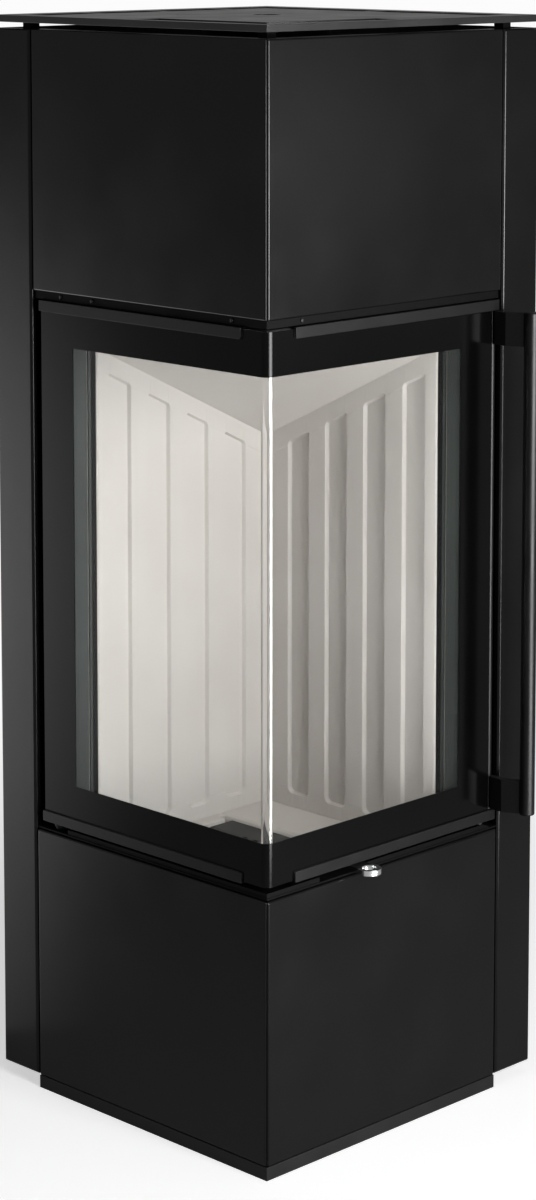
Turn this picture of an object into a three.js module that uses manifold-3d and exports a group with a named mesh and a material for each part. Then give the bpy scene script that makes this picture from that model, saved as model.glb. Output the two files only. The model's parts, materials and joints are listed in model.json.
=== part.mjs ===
// A free-standing tiled wood stove: a square column with glossy black panels, and a corner door with one
// pane of bent glass.
//
// Millimetres, +Z up. The origin is on the floor under the middle of the column. The glass corner points to
// (+X, -Y): the "front" wing runs from it towards -X, the "right" wing runs from it towards +Y.
//
// Most pieces come in pairs, one for each wing, so they are drawn in wing coordinates:
//   along = distance from the glass corner along the wing, depth = distance in from its face, up = height.

import * as THREE from "three";
import { ConvexGeometry } from "three/addons/geometries/ConvexGeometry.js";
import { mergeVertices } from "three/addons/utils/BufferGeometryUtils.js";
import Module from "manifold-3d";

const wasm = await Module();
wasm.setup();

// ------------------------------------------------------------------------------------------
// Driving dimensions
// ------------------------------------------------------------------------------------------

const SEAT = 0.3; // gap between two pieces that touch
const RUNNING = 0.3; // radial gap round a pin or shaft that turns

const SIDE = 450; // side of the square column
const SIDE_PANEL_SPAN = 65.5; // room for a side panel and its shadow groove, along each wing
const TILE_SPAN = SIDE - SIDE_PANEL_SPAN; // how far the tiles and the plinth reach from the glass corner

// Plinth and feet
const PLINTH_HEIGHT = 15.4;
const PLINTH_WALL = 2;
const PLINTH_FLOOR = 3;
const FOOT_PAD_RADIUS = 16;
const FOOT_PAD_HEIGHT = 4;
const FOOT_STUD_RADIUS = 5;
const FOOT_INSET = 45; // foot axis in from the plinth's sides

// Panels
const TILE_HEIGHT = 302.6;
const TILE_THICKNESS = 20;
const TILE_FACE = 9; // ceramic left behind the face where the back is hollow
const TILE_RIB = 14; // ribs between the hollows
const TILE_RIM = 26; // solid rim round the hollows
const TILE_HOLLOWS = 3;
const TILE_BEVEL = 1.5;
const MITRE_JOINT = 0.6; // joint between the two tiles of a corner
const GROOVE = 2.9; // shadow groove between tile and side panel
const SIDE_PANEL_THICKNESS = 8.7;
const SIDE_PANEL_BEVEL = 2.5;
const REAR_SHEET = 1.5;

// Carcass
const BASE_SHEET = 3;
const LOWER_DECK_SHEET = 2;
const UPPER_DECK_SHEET = 3;
const DECK_SHADOW = 1.3; // dark line between a lower tile and the deck over it
const DECK_SETBACK = 3; // deck edge behind the panel face
const LIP_DEPTH = 4; // the folded-up lip under the door, behind the panel face
const LIP_SHEET = 1.5;
const LIP_HEIGHT = 5.4;
const LIP_LEFT_MARGIN = 49.5; // the lip stops this far before the tile's end, short of the hinge
const LIP_LEFT_END = TILE_SPAN - LIP_LEFT_MARGIN;
const LIP_RIGHT_MARGIN = 8.5;
const LIP_RIGHT_END = TILE_SPAN - LIP_RIGHT_MARGIN;
const LIP_RIGHT_RAMP = 10; // its right end slopes down over this length
const POST_SETBACK = 10.5;
const POST_ALONG = TILE_SPAN + POST_SETBACK; // where a front post starts, from the glass corner
const POST_WIDTH = 13;
const POST_DEPTH = 14;
const CORNER_POST_INSET = 21;
const CORNER_POST_SIDE = 14;
const LINTEL_DEPTH = 4;
const LINTEL_SHEET = 2;
const LINTEL_DROP = 5.9; // lintel edge under the upper deck's underside
const SCREW_HEAD_RADIUS = 2.75;
const SCREW_HEAD_HEIGHT = 1.6;
const SCREW_SHANK_RADIUS = 1.4;
const SCREW_CORNER_MARGIN = 58; // screws from the glass corner, one on each wing
const SCREW_END_MARGIN = 44.5; // and two more on the hinge side, from the tile's end
const SCREW_SECOND_MARGIN = 98.5;

// Top plate and flue
const TOP_GAP = 7.2;
const PLATE_THICKNESS = 8;
const PLATE_OVERHANG = 1.2;
const FRONT_SLOT_RIM = 12;
const FRONT_SLOT_WIDTH = 38;
const FRONT_SLOT_LENGTH = 210;
const REAR_SLOT_RIM = 30;
const REAR_SLOT_WIDTH = 34;
const REAR_SLOT_START = 27;
const REAR_SLOT_BRIDGE = 10;
const REAR_BRIDGES_LEFT = [113, 218, 325]; // bridge centres along the left rear edge
const REAR_BRIDGES_RIGHT = [220]; // and along the right rear edge
const COVER_RADIUS = 104.7;
const COVER_LEDGE = 7.5; // width of the ledge that carries the cover
const COVER_LEDGE_DEPTH = 4;
const COVER_FINGER_HOLE = 32.5; // diameter
const FLUE_DIAMETER = 150;
const FLUE_WALL = 2;
const FLUE_FLANGE = 20;

// Door
const DOOR_HEIGHT = 620.6;
const DOOR_GAP_BELOW = 9.6;
const DOOR_GAP_ABOVE = 7.1;
const DOOR_LEFT_MARGIN = 10; // door's hinge end before the tile's end
const DOOR_LEFT_END = TILE_SPAN - DOOR_LEFT_MARGIN; // along the front wing
const DOOR_RIGHT_MARGIN = 2.5; // door's handle end before the tile's end
const DOOR_RIGHT_END = TILE_SPAN - DOOR_RIGHT_MARGIN; // along the right wing
const STRIP_HEIGHT = 12.5;
const STRIP_THICKNESS = 2.7;
const STRIP_FLANGE = 1.2;
const STRIP_FLANGE_DEPTH = 14;
const STRIP_END_RADIUS = 3;
const STRIP_START_FRONT = 41;
const STRIP_START_RIGHT = 45;
const GLASS_THICKNESS = 4;
const GLASS_BEND_RADIUS = 9; // outer radius of the bend
const GLASS_TAPE = 1.2;
const GLASS_TAPE_WIDTH = 10;
const GLASS_END_MARGIN = 1; // glass edge inside the door's hinge end
const GLASS_RIGHT_MARGIN = 9.3; // glass edge before the door's handle end
const DOOR_FRAME_DEPTH = 20;
const WINDOW_SILL = 41; // height of the door frame's lower rail, hidden behind the glass's black border
const WINDOW_HEAD = 50.6; // height of its upper rail
const WINDOW_MARGIN = 61.9;
const WINDOW_END = TILE_SPAN - WINDOW_MARGIN; // end of the clear glass, along each wing
const ROPE_THICKNESS = 2.6; // sealing rope, pressed flat
const ROPE_WIDTH = 10;

// Hinge
const HINGE_FROM_END = 16.5; // hinge axis before the door's end
const HINGE_ALONG = DOOR_LEFT_END - HINGE_FROM_END;
const HINGE_DEPTH = 14.5;
const HINGE_PIN_RADIUS = 4;
const HINGE_PIN_LENGTH = 24; // length inside the door frame
const HINGE_SHOULDER_RADIUS = 6.5;
const HINGE_SHOULDER_HEIGHT = 3;
const HINGE_WASHER_RADIUS = 8;

// Handle and latch
const SHAFT_FROM_END = 4.5; // shaft axis before the door's handle end
const SHAFT_DEPTH = 7.5;
const SHAFT_RADIUS = 4;
const JOURNAL_RADIUS = 2.8;
const JOURNAL_LENGTH = 10;
const HANDLE_REACH = 43; // bar axis out from the door's face
const HANDLE_SWEEP = 12; // bar axis behind the shaft axis, away from the glass corner
const HANDLE_RADIUS = 9;
const HANDLE_END_INSET = 13; // bar end inside the door's top and bottom
const ARM_HEIGHT = 40;
const ARM_WIDTH = 8;
const ARM_STUB = 16; // straight part of the arm, out from the door's face
const CAM_THICKNESS = 6;
const CAM_WIDTH = 6;
const CAM_LEVEL = 100; // cam centre from the door's top and bottom
const STRIKE_THICKNESS = 2.5;
const STRIKE_HEIGHT = 34;
const STRIKE_WIDTH = 10;
const DOOR_REST_FROM_END = 17;
const DOOR_REST_ALONG = DOOR_RIGHT_END - DOOR_REST_FROM_END;
const DOOR_REST_RADIUS = 3.2;
const DOOR_REST_DEPTH = 9.6;

// Firebox
const FRONT_FRAME_THICKNESS = 4;
const FRONT_FRAME_SILL = 23.4; // height of its sill over the lower deck
const FRONT_FRAME_HEAD = 54; // depth of its head under the upper deck
const FRONT_FRAME_LEFT_MARGIN = 2.5;
const FRONT_FRAME_LEFT_END = DOOR_LEFT_END - FRONT_FRAME_LEFT_MARGIN;
const FRONT_FRAME_RIGHT_REACH = 2; // past the door's handle end
const FIREBOX_OPENING_MARGIN = 0.9;
const FIREBOX_OPENING_END = WINDOW_END + FIREBOX_OPENING_MARGIN;
const SHELL_FRONT_WALL = 7;
const SHELL_WALL = 4;
const SHELL_CROWN = 214; // smoke chamber's height over the upper deck
const SHELL_LUG_DEPTH = 12;
const SHELL_LUG_HEIGHT = 7;
const LINER_LIP_WIDTH = 0.6; // how far the lining shows inside the window's end
const LINER_FACE = WINDOW_END - LINER_LIP_WIDTH; // both lined walls, from the glass corner
const LINER_THICKNESS = 30;
const CHANNEL_COUNT = 4;
const CHANNEL_WIDTH = 36;
const CHANNEL_FIRST_DISTANCE = 61.9; // from the glass corner to the first channel
const CHANNEL_LAST_MARGIN = 35.4; // from the last channel to the corner of the lined walls
const CHANNEL_ROOM = LINER_FACE - CHANNEL_FIRST_DISTANCE - CHANNEL_WIDTH - CHANNEL_LAST_MARGIN;
const CHANNEL_PITCH = CHANNEL_ROOM / (CHANNEL_COUNT - 1);
const CHANNEL_BEVEL = 5.5;
const CHANNEL_DEPTH = 5.4;
const CHANNEL_FOOT = 16; // channel end over the fire floor
const CHANNEL_HEAD = 22; // channel end under the baffle
const BAFFLE_BACK_HEIGHT = 461; // baffle over the fire floor in the back corner
const BAFFLE_SLOPE = 0.487; // rise per millimetre towards each face
const BAFFLE_THICKNESS = 30;
const BAFFLE_EDGE_SETBACK = 52;
const BAFFLE_FRONT_SPAN = LINER_FACE - BAFFLE_EDGE_SETBACK; // along + along of the baffle's free edge
const FLOOR_DROP = 21.6; // fire floor under the lower deck's top
const FLOOR_THICKNESS = 20;
const BACK_BRICK_WIDTH = 81;
const BACK_BRICK_START = LINER_FACE - BACK_BRICK_WIDTH;
const LEDGE_WIDTH = 22;
const LEDGE_NOTCH = 12;
const BRICK_ROUND = 6;
const GRATE_THICKNESS = 15;
const GRATE_BARS = 9;
const GRATE_SLOT_WIDTH = 8;
const WELL_START = 80;
const WELL_LEFT_MARGIN = 40; // ash well before the ledge
const WELL_BACK_MARGIN = 21; // and before the back brick
const WELL_LENGTH = LINER_FACE - LEDGE_WIDTH - WELL_LEFT_MARGIN - WELL_START; // along the front wing
const WELL_WIDTH = BACK_BRICK_START - WELL_BACK_MARGIN - WELL_START; // along the right wing
const WELL_DEPTH = 60;
const GRATE_SLOT_MARGIN = 15; // each slot ends this far inside the well
const GRATE_SLOT_LENGTH = WELL_WIDTH - 2 * GRATE_SLOT_MARGIN;
const GRATE_END_MARGIN = 27;
const GRATE_SLOT_PITCH = (WELL_LENGTH - GRATE_END_MARGIN) / GRATE_BARS;
const PAN_GAP = 5;
const PAN_WALL = 2;
const PAN_HEIGHT = 50;

// Air control
const LEVER_ALONG = 150; // where the lever stands on the right wing
const LEVER_OUT = 13.6; // ring centre out from the panel face
const LEVER_RING_RADIUS = 13.75;
const LEVER_EYE_RADIUS = 8.5;
const LEVER_THICKNESS = 6;
const LEVER_ROOT_WIDTH = 22;
const LEVER_TRAVEL = 50; // towards the glass corner, to shut the ports
const LEVER_TAB_WIDTH = 14;
const LEVER_TAB_THICKNESS = 3;
const LEVER_TAB_CLEARANCE = 2.5; // tab behind the back of the tile
const VALVE_THICKNESS = 1.6;
const VALVE_HEIGHT = 22;
const VALVE_CLEARANCE = 1; // under the deck
const VALVE_BEFORE = 56; // valve's reach from the lever towards the glass corner
const VALVE_AFTER = 106; // and away from it, to cover the shut ports
const AIR_PORTS = 2;
const AIR_PORT_LENGTH = 26;
const AIR_PORT_HEIGHT = 12;
const AIR_PORT_PITCH = 76;
const DUCT_HEIGHT = 30;
const DUCT_WALL = 1.5;
const DUCT_BEFORE = 75;
const DUCT_AFTER = 75;
const INLET_DIAMETER = 98;
const INLET_WALL = 2;
const INLET_LENGTH = 60;
const INLET_FLANGE = 13;
const INLET_HEIGHT = 110; // axis over the floor
const VENT_LENGTH = 60;
const VENT_HEIGHT = 8;
const VENT_PITCH = 74;
const VENT_COUNT = 5;
const VENT_LEVELS = [200, 1130, 1150]; // heights of the rows of vents

// ------------------------------------------------------------------------------------------
// Levels and depths that follow from them
// ------------------------------------------------------------------------------------------

const HALF = SIDE / 2;

const TILE_BOTTOM = PLINTH_HEIGHT + SEAT;
const BASE_TOP = TILE_BOTTOM + BASE_SHEET;
const LOWER_TILE_TOP = TILE_BOTTOM + TILE_HEIGHT;
const LOWER_DECK = LOWER_TILE_TOP + DECK_SHADOW;
const LOWER_DECK_TOP = LOWER_DECK + LOWER_DECK_SHEET;
const DOOR_BOTTOM = LOWER_DECK_TOP + DOOR_GAP_BELOW;
const DOOR_TOP = DOOR_BOTTOM + DOOR_HEIGHT;
const UPPER_DECK = DOOR_TOP + DOOR_GAP_ABOVE;
const UPPER_DECK_TOP = UPPER_DECK + UPPER_DECK_SHEET;
const UPPER_TILE_BOTTOM = UPPER_DECK_TOP + SEAT;
const UPPER_TILE_TOP = UPPER_TILE_BOTTOM + TILE_HEIGHT;
const PLATE_BOTTOM = UPPER_TILE_TOP + TOP_GAP;

// Depths through the door, from the face inwards
const GLASS_FRONT = STRIP_THICKNESS + SEAT;
const GLASS_BACK = GLASS_FRONT + GLASS_THICKNESS;
const TAPE_FRONT = GLASS_BACK + SEAT;
const TAPE_BACK = TAPE_FRONT + GLASS_TAPE;
const DOOR_FRONT = TAPE_BACK + SEAT;
const DOOR_BACK = DOOR_FRONT + DOOR_FRAME_DEPTH;
const ROPE_FRONT = DOOR_BACK + SEAT;
const ROPE_BACK = ROPE_FRONT + ROPE_THICKNESS;
const FRAME_FRONT = ROPE_BACK + SEAT;
const FRAME_BACK = FRAME_FRONT + FRONT_FRAME_THICKNESS;
const SHELL_FRONT = FRAME_BACK + SEAT;
const CHAMBER_FRONT = SHELL_FRONT + SHELL_FRONT_WALL;
const LINER_FRONT = CHAMBER_FRONT + SEAT;
const LINER_BACK = LINER_FACE + LINER_THICKNESS;
const CHAMBER_BACK = LINER_BACK + SEAT;
const SHELL_BACK = CHAMBER_BACK + SHELL_WALL;

const FIRE_FLOOR = LOWER_DECK_TOP - FLOOR_DROP;
const CHAMBER_FLOOR = FIRE_FLOOR - FLOOR_THICKNESS;
const SHELL_BOTTOM = CHAMBER_FLOOR - SHELL_WALL;
const SHELL_TOP = UPPER_DECK_TOP + SHELL_CROWN;
const SILL_TOP = LOWER_DECK_TOP + FRONT_FRAME_SILL;
const HEAD_BOTTOM = UPPER_DECK - FRONT_FRAME_HEAD;

const FRAME_BOTTOM = DOOR_BOTTOM + STRIP_FLANGE + SEAT;
const FRAME_TOP = DOOR_TOP - STRIP_FLANGE - SEAT;
const WINDOW_BOTTOM = DOOR_BOTTOM + WINDOW_SILL;
const WINDOW_TOP = DOOR_TOP - WINDOW_HEAD;

const SHAFT_ALONG = DOOR_RIGHT_END - SHAFT_FROM_END;
const TAB_DEPTH = TILE_THICKNESS + LEVER_TAB_CLEARANCE;
const STEP = 1; // how far a cutter reaches past what it cuts
const FAR = SIDE + STEP; // a cutter that reaches right along a wing

// ------------------------------------------------------------------------------------------
// Solids
// ------------------------------------------------------------------------------------------

// Only the positions, with shared corners merged, so that the mesh is closed.
function bareGeometry(geometry) {
  const bare = geometry.clone();
  for (const name of Object.keys(bare.attributes)) if (name !== "position") bare.deleteAttribute(name);
  return mergeVertices(bare, 1e-4);
}

function solidOf(geometry) {
  const merged = bareGeometry(geometry);
  return new wasm.Manifold(
    new wasm.Mesh({
      numProp: 3,
      vertProperties: merged.attributes.position.array,
      triVerts: new Uint32Array(merged.index.array),
    }),
  );
}

function geometryOf(solid) {
  const mesh = solid.getMesh();
  const geometry = new THREE.BufferGeometry();
  geometry.setAttribute("position", new THREE.BufferAttribute(new Float32Array(mesh.vertProperties), 3));
  geometry.setIndex(new THREE.BufferAttribute(new Uint32Array(mesh.triVerts), 1));
  geometry.computeVertexNormals();
  return geometry;
}

const cut = (body, ...tools) =>
  geometryOf(tools.reduce((solid, tool) => solid.subtract(solidOf(tool)), solidOf(body)));
const join = (body, ...others) =>
  geometryOf(others.reduce((solid, other) => solid.add(solidOf(other)), solidOf(body)));

// The face order is turned round where a wing's frame mirrors the shape.
function reversed(geometry) {
  const index = geometry.index.array;
  for (let i = 0; i < index.length; i += 3) [index[i + 1], index[i + 2]] = [index[i + 2], index[i + 1]];
  return geometry;
}

// Wing frames: (along, depth, up) to (x, y, z).
const FRONT = new THREE.Matrix4().makeBasis(
  new THREE.Vector3(-1, 0, 0),
  new THREE.Vector3(0, 1, 0),
  new THREE.Vector3(0, 0, 1),
);
FRONT.setPosition(HALF, -HALF, 0);
const RIGHT = new THREE.Matrix4().makeBasis(
  new THREE.Vector3(0, 1, 0),
  new THREE.Vector3(-1, 0, 0),
  new THREE.Vector3(0, 0, 1),
);
RIGHT.setPosition(HALF, -HALF, 0);

function onWing(wing, geometry) {
  const placed = bareGeometry(geometry).applyMatrix4(wing);
  return wing.determinant() < 0 ? reversed(placed) : placed;
}

// A point given by its distances from the glass corner along the front wing and along the right wing.
const planX = (alongFront) => HALF - alongFront;
const planY = (alongRight) => -HALF + alongRight;

function box(x0, x1, y0, y1, z0, z1) {
  const block = new THREE.BoxGeometry(x1 - x0, y1 - y0, z1 - z0);
  return block.translate((x0 + x1) / 2, (y0 + y1) / 2, (z0 + z1) / 2);
}

// A box between plan distances from the glass corner.
function planBox(front0, front1, right0, right1, z0, z1) {
  return box(planX(front1), planX(front0), planY(right0), planY(right1), z0, z1);
}

function prism(shape, z0, z1, curveSegments = 6) {
  const options = { depth: z1 - z0, bevelEnabled: false, curveSegments };
  return new THREE.ExtrudeGeometry(shape, options).translate(0, 0, z0);
}

const polygon = (points) => new THREE.Shape(points.map(([x, y]) => new THREE.Vector2(x, y)));

// A prism whose plan corners are distances from the glass corner.
const planPrism = (points, z0, z1) => prism(polygon(points.map(([f, r]) => [planX(f), planY(r)])), z0, z1);

// A shape drawn on a wing's face as (along, up), carried from one depth to another.
function facePrism(shape, depth0, depth1, curveSegments = 6) {
  const geometry = new THREE.ExtrudeGeometry(shape, {
    depth: depth1 - depth0,
    bevelEnabled: false,
    curveSegments,
  });
  return geometry.rotateX(Math.PI / 2).translate(0, depth1, 0);
}

const hull = (points) => new ConvexGeometry(points.map(([x, y, z]) => new THREE.Vector3(x, y, z)));

function cylinder(radius, z0, z1, sides = 24) {
  const post = new THREE.CylinderGeometry(radius, radius, z1 - z0, sides);
  return post.rotateX(Math.PI / 2).translate(0, 0, (z0 + z1) / 2);
}

// A profile of [radius, height] points turned about +Z; it closes on itself.
function turned(profile, sides = 24) {
  const points = [...profile, profile[0]].map(([r, z]) => new THREE.Vector2(r, z));
  return new THREE.LatheGeometry(points, sides).rotateX(Math.PI / 2);
}

function rectangle(shape, x0, x1, y0, y1) {
  shape.moveTo(x0, y0);
  shape.lineTo(x1, y0);
  shape.lineTo(x1, y1);
  shape.lineTo(x0, y1);
  shape.closePath();
  return shape;
}

// A band round the glass corner between two depths, with each wing's end and a rounded outer corner.
function cornerBand(depth0, depth1, frontEnd, rightEnd, radius, extra = []) {
  const shape = new THREE.Shape();
  const inner = Math.max(radius - (depth1 - depth0), 0);
  shape.moveTo(planX(frontEnd), planY(depth0));
  shape.lineTo(planX(depth0 + radius), planY(depth0));
  if (radius > 0)
    shape.absarc(planX(depth0 + radius), planY(depth0 + radius), radius, -Math.PI / 2, 0, false);
  shape.lineTo(planX(depth0), planY(rightEnd));
  shape.lineTo(planX(depth1), planY(rightEnd));
  shape.lineTo(planX(depth1), planY(depth1 + inner));
  if (inner > 0) shape.absarc(planX(depth1 + inner), planY(depth1 + inner), inner, 0, -Math.PI / 2, true);
  shape.lineTo(planX(depth1 + inner), planY(depth1));
  for (const [front, right] of [...extra, [frontEnd, depth1]]) shape.lineTo(planX(front), planY(right));
  shape.closePath();
  return shape;
}

// ------------------------------------------------------------------------------------------
// Materials and the scene graph
// ------------------------------------------------------------------------------------------

const finish = (color, roughness, metalness, extra = {}) =>
  new THREE.MeshStandardMaterial({ color, roughness, metalness, ...extra });

const MATERIALS = {
  glaze: finish(0x131416, 0.12, 0),
  lacquer: finish(0x1a1b1d, 0.35, 0.2),
  darkSteel: finish(0x2b2d2e, 0.5, 0.5),
  plate: finish(0x2a2b2d, 0.38, 0.4),
  strip: finish(0x2d2f32, 0.35, 0.5),
  glass: finish(0x9aa3a5, 0.05, 0, { transparent: true, opacity: 0.3 }),
  fireclay: finish(0xe3ddd2, 0.85, 0),
  castIron: finish(0x2e2f30, 0.7, 0.3),
  steel: finish(0xc8cacc, 0.25, 0.9),
  rope: finish(0x8f8b84, 0.95, 0),
  handle: finish(0x141517, 0.3, 0.1),
};

const stove = new THREE.Group();

function assembly() {
  const group = new THREE.Group();
  stove.add(group);
  return group;
}

function piece(group, name, geometry, material, place = [0, 0, 0]) {
  const mesh = new THREE.Mesh(geometry, material);
  mesh.name = name;
  mesh.position.set(...place);
  group.add(mesh);
  return mesh;
}

const WINGS = [
  ["front", FRONT],
  ["right", RIGHT],
];

// ------------------------------------------------------------------------------------------
// Plinth, levelling feet and base sheet
// ------------------------------------------------------------------------------------------

const base = assembly();

// A folded tray, open upwards, under the tiled part of the column.
piece(
  base,
  "plinth",
  cut(
    planBox(0, TILE_SPAN, 0, TILE_SPAN, 0, PLINTH_HEIGHT),
    planBox(
      PLINTH_WALL,
      TILE_SPAN - PLINTH_WALL,
      PLINTH_WALL,
      TILE_SPAN - PLINTH_WALL,
      PLINTH_FLOOR,
      PLINTH_HEIGHT + STEP,
    ),
  ),
  MATERIALS.lacquer,
);

// Levelling feet: a pad with a stud, between the tray and the base sheet.
const footProfile = [
  [0, 0],
  [FOOT_PAD_RADIUS, 0],
  [FOOT_PAD_RADIUS, FOOT_PAD_HEIGHT / 2],
  [FOOT_STUD_RADIUS, FOOT_PAD_HEIGHT],
  [FOOT_STUD_RADIUS, PLINTH_HEIGHT - PLINTH_FLOOR - SEAT],
  [0, PLINTH_HEIGHT - PLINTH_FLOOR - SEAT],
];
[FOOT_INSET, TILE_SPAN - FOOT_INSET].forEach((front, i) =>
  [FOOT_INSET, TILE_SPAN - FOOT_INSET].forEach((right, j) =>
    piece(base, `levelling_foot_${2 * i + j + 1}`, turned(footProfile, 16), MATERIALS.steel, [
      planX(front),
      planY(right),
      PLINTH_FLOOR + SEAT,
    ]),
  ),
);

const REAR_INSIDE = SIDE - REAR_SHEET - SEAT; // inner side of the rear sheets, with its gap
piece(
  base,
  "base_sheet",
  planBox(
    TILE_THICKNESS + SEAT,
    REAR_INSIDE,
    TILE_THICKNESS + SEAT,
    REAR_INSIDE,
    PLINTH_HEIGHT + SEAT,
    BASE_TOP,
  ),
  MATERIALS.darkSteel,
);

// ------------------------------------------------------------------------------------------
// Carcass: posts, decks and lintel
// ------------------------------------------------------------------------------------------

const carcass = assembly();
const POST_FRONT = SIDE_PANEL_THICKNESS + SEAT; // depth of a post's front
const POST_BACK = POST_FRONT + POST_DEPTH;
const POST_ALONG_END = POST_ALONG + POST_WIDTH;
const POST_BOTTOM = BASE_TOP + SEAT;
const POST_TOP = PLATE_BOTTOM - SEAT;
const REAR_POST_END = REAR_INSIDE;
const REAR_POST_START = REAR_POST_END - POST_DEPTH;

// Posts as [name, front0, front1, right0, right1, bottom, top].
const CORNER_POST_END = CORNER_POST_INSET + CORNER_POST_SIDE;
const POSTS = [
  ["post_left", POST_ALONG, POST_ALONG_END, POST_FRONT, POST_BACK, POST_BOTTOM, POST_TOP],
  ["post_right", POST_FRONT, POST_BACK, POST_ALONG, POST_ALONG_END, POST_BOTTOM, POST_TOP],
  ["post_rear", REAR_POST_START, REAR_POST_END, REAR_POST_START, REAR_POST_END, POST_BOTTOM, POST_TOP],
  [
    "post_corner_lower",
    CORNER_POST_INSET,
    CORNER_POST_END,
    CORNER_POST_INSET,
    CORNER_POST_END,
    POST_BOTTOM,
    LOWER_DECK - SEAT,
  ],
  [
    "post_corner_upper",
    CORNER_POST_INSET,
    CORNER_POST_END,
    CORNER_POST_INSET,
    CORNER_POST_END,
    UPPER_DECK_TOP + SEAT,
    POST_TOP,
  ],
];
for (const [name, ...corners] of POSTS) piece(carcass, name, planBox(...corners), MATERIALS.darkSteel);

// A deck is a sheet with a hole for the firebox and notches for the posts and side panels that pass it.
function deckSheet(setback, z0, z1, ...cutters) {
  const sheet = planBox(setback, REAR_INSIDE, setback, REAR_INSIDE, z0, z1);
  const room = (start, end) => [start - SEAT, end + SEAT];
  const shellRoom = room(SHELL_FRONT, SHELL_BACK);
  const hole = planBox(...shellRoom, ...shellRoom, z0 - STEP, z1 + STEP);
  const notches = POSTS.slice(0, 3).map(([, f0, f1, r0, r1]) =>
    planBox(...room(f0, f1), ...room(r0, r1), z0 - STEP, z1 + STEP),
  );
  const panelRoom = box(TILE_SPAN + GROOVE - SEAT, FAR, -STEP, POST_FRONT, z0 - STEP, z1 + STEP);
  return cut(sheet, hole, ...notches, onWing(FRONT, panelRoom), onWing(RIGHT, panelRoom), ...cutters);
}

const HINGE_X = planX(HINGE_ALONG);
const HINGE_Y = planY(HINGE_DEPTH);
const hingeHole = (radius, z0, z1) => cylinder(radius, z0, z1, 24).translate(HINGE_X, HINGE_Y, 0);

// The lever's tab reaches down through a slot in the deck, and the lever itself through a notch in the lip.
const TAB_ROOM = 1.5;
const leverPath = (width, depth0, depth1, z0, z1) =>
  onWing(RIGHT, box(LEVER_ALONG - LEVER_TRAVEL - width / 2, LEVER_ALONG + width / 2, depth0, depth1, z0, z1));
const leverSlot = leverPath(
  LEVER_TAB_WIDTH + 2 * TAB_ROOM,
  TAB_DEPTH - TAB_ROOM,
  TAB_DEPTH + LEVER_TAB_THICKNESS + TAB_ROOM,
  LOWER_DECK - STEP,
  LOWER_DECK_TOP + STEP,
);
const leverNotch = leverPath(
  LEVER_ROOT_WIDTH + 2 * TAB_ROOM,
  0,
  LIP_DEPTH + LIP_SHEET + STEP,
  LOWER_DECK_TOP,
  LOWER_DECK_TOP + LIP_HEIGHT + STEP,
);

// The lip is folded up along both front edges of the deck.
const lip = join(
  prism(
    cornerBand(LIP_DEPTH, LIP_DEPTH + LIP_SHEET, LIP_LEFT_END, LIP_RIGHT_END - LIP_RIGHT_RAMP, 0),
    LOWER_DECK,
    LOWER_DECK_TOP + LIP_HEIGHT,
  ),
  onWing(
    RIGHT,
    facePrism(
      polygon([
        [LIP_RIGHT_END - LIP_RIGHT_RAMP - STEP, LOWER_DECK],
        [LIP_RIGHT_END, LOWER_DECK],
        [LIP_RIGHT_END, LOWER_DECK_TOP + STEP],
        [LIP_RIGHT_END - LIP_RIGHT_RAMP - STEP, LOWER_DECK_TOP + LIP_HEIGHT],
      ]),
      LIP_DEPTH,
      LIP_DEPTH + LIP_SHEET,
    ),
  ),
);

piece(
  carcass,
  "lower_deck",
  cut(
    join(
      deckSheet(
        DECK_SETBACK,
        LOWER_DECK,
        LOWER_DECK_TOP,
        hingeHole(HINGE_PIN_RADIUS + SEAT, LOWER_DECK - STEP, LOWER_DECK_TOP + STEP),
      ),
      lip,
    ),
    leverSlot,
    leverNotch,
  ),
  MATERIALS.darkSteel,
);
piece(
  carcass,
  "upper_deck",
  deckSheet(
    LINTEL_DEPTH + LINTEL_SHEET + SEAT,
    UPPER_DECK,
    UPPER_DECK_TOP,
    hingeHole(HINGE_PIN_RADIUS + SEAT, UPPER_DECK - STEP, UPPER_DECK_TOP + STEP),
  ),
  MATERIALS.darkSteel,
);

// The lintel closes the gap over the door: a folded strip round the corner, held by small screws.
const LINTEL_BOTTOM = UPPER_DECK - LINTEL_DROP;
const LINTEL_BACK = LINTEL_DEPTH + LINTEL_SHEET;
const SCREW_LEVEL = (LINTEL_BOTTOM + UPPER_DECK_TOP) / 2 + 0.5;
const SCREW_PLACES = [
  [FRONT, TILE_SPAN - SCREW_END_MARGIN],
  [FRONT, TILE_SPAN - SCREW_SECOND_MARGIN],
  [FRONT, SCREW_CORNER_MARGIN],
  [RIGHT, SCREW_CORNER_MARGIN],
];
const screwHoles = SCREW_PLACES.map(([wing, along]) =>
  onWing(
    wing,
    cylinder(SCREW_SHANK_RADIUS + SEAT, -LINTEL_BACK - STEP, -LINTEL_DEPTH + STEP, 12)
      .rotateX(Math.PI / 2)
      .translate(along, 0, SCREW_LEVEL),
  ),
);
piece(
  carcass,
  "lintel",
  cut(
    planPrism(
      [
        [LINTEL_DEPTH, LINTEL_DEPTH],
        [TILE_SPAN, LINTEL_DEPTH],
        [TILE_SPAN, LINTEL_BACK],
        [LINTEL_BACK, LINTEL_BACK],
        [LINTEL_BACK, TILE_SPAN],
        [LINTEL_DEPTH, TILE_SPAN],
      ],
      LINTEL_BOTTOM,
      UPPER_DECK_TOP,
    ),
    ...screwHoles,
  ),
  MATERIALS.darkSteel,
);

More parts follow.
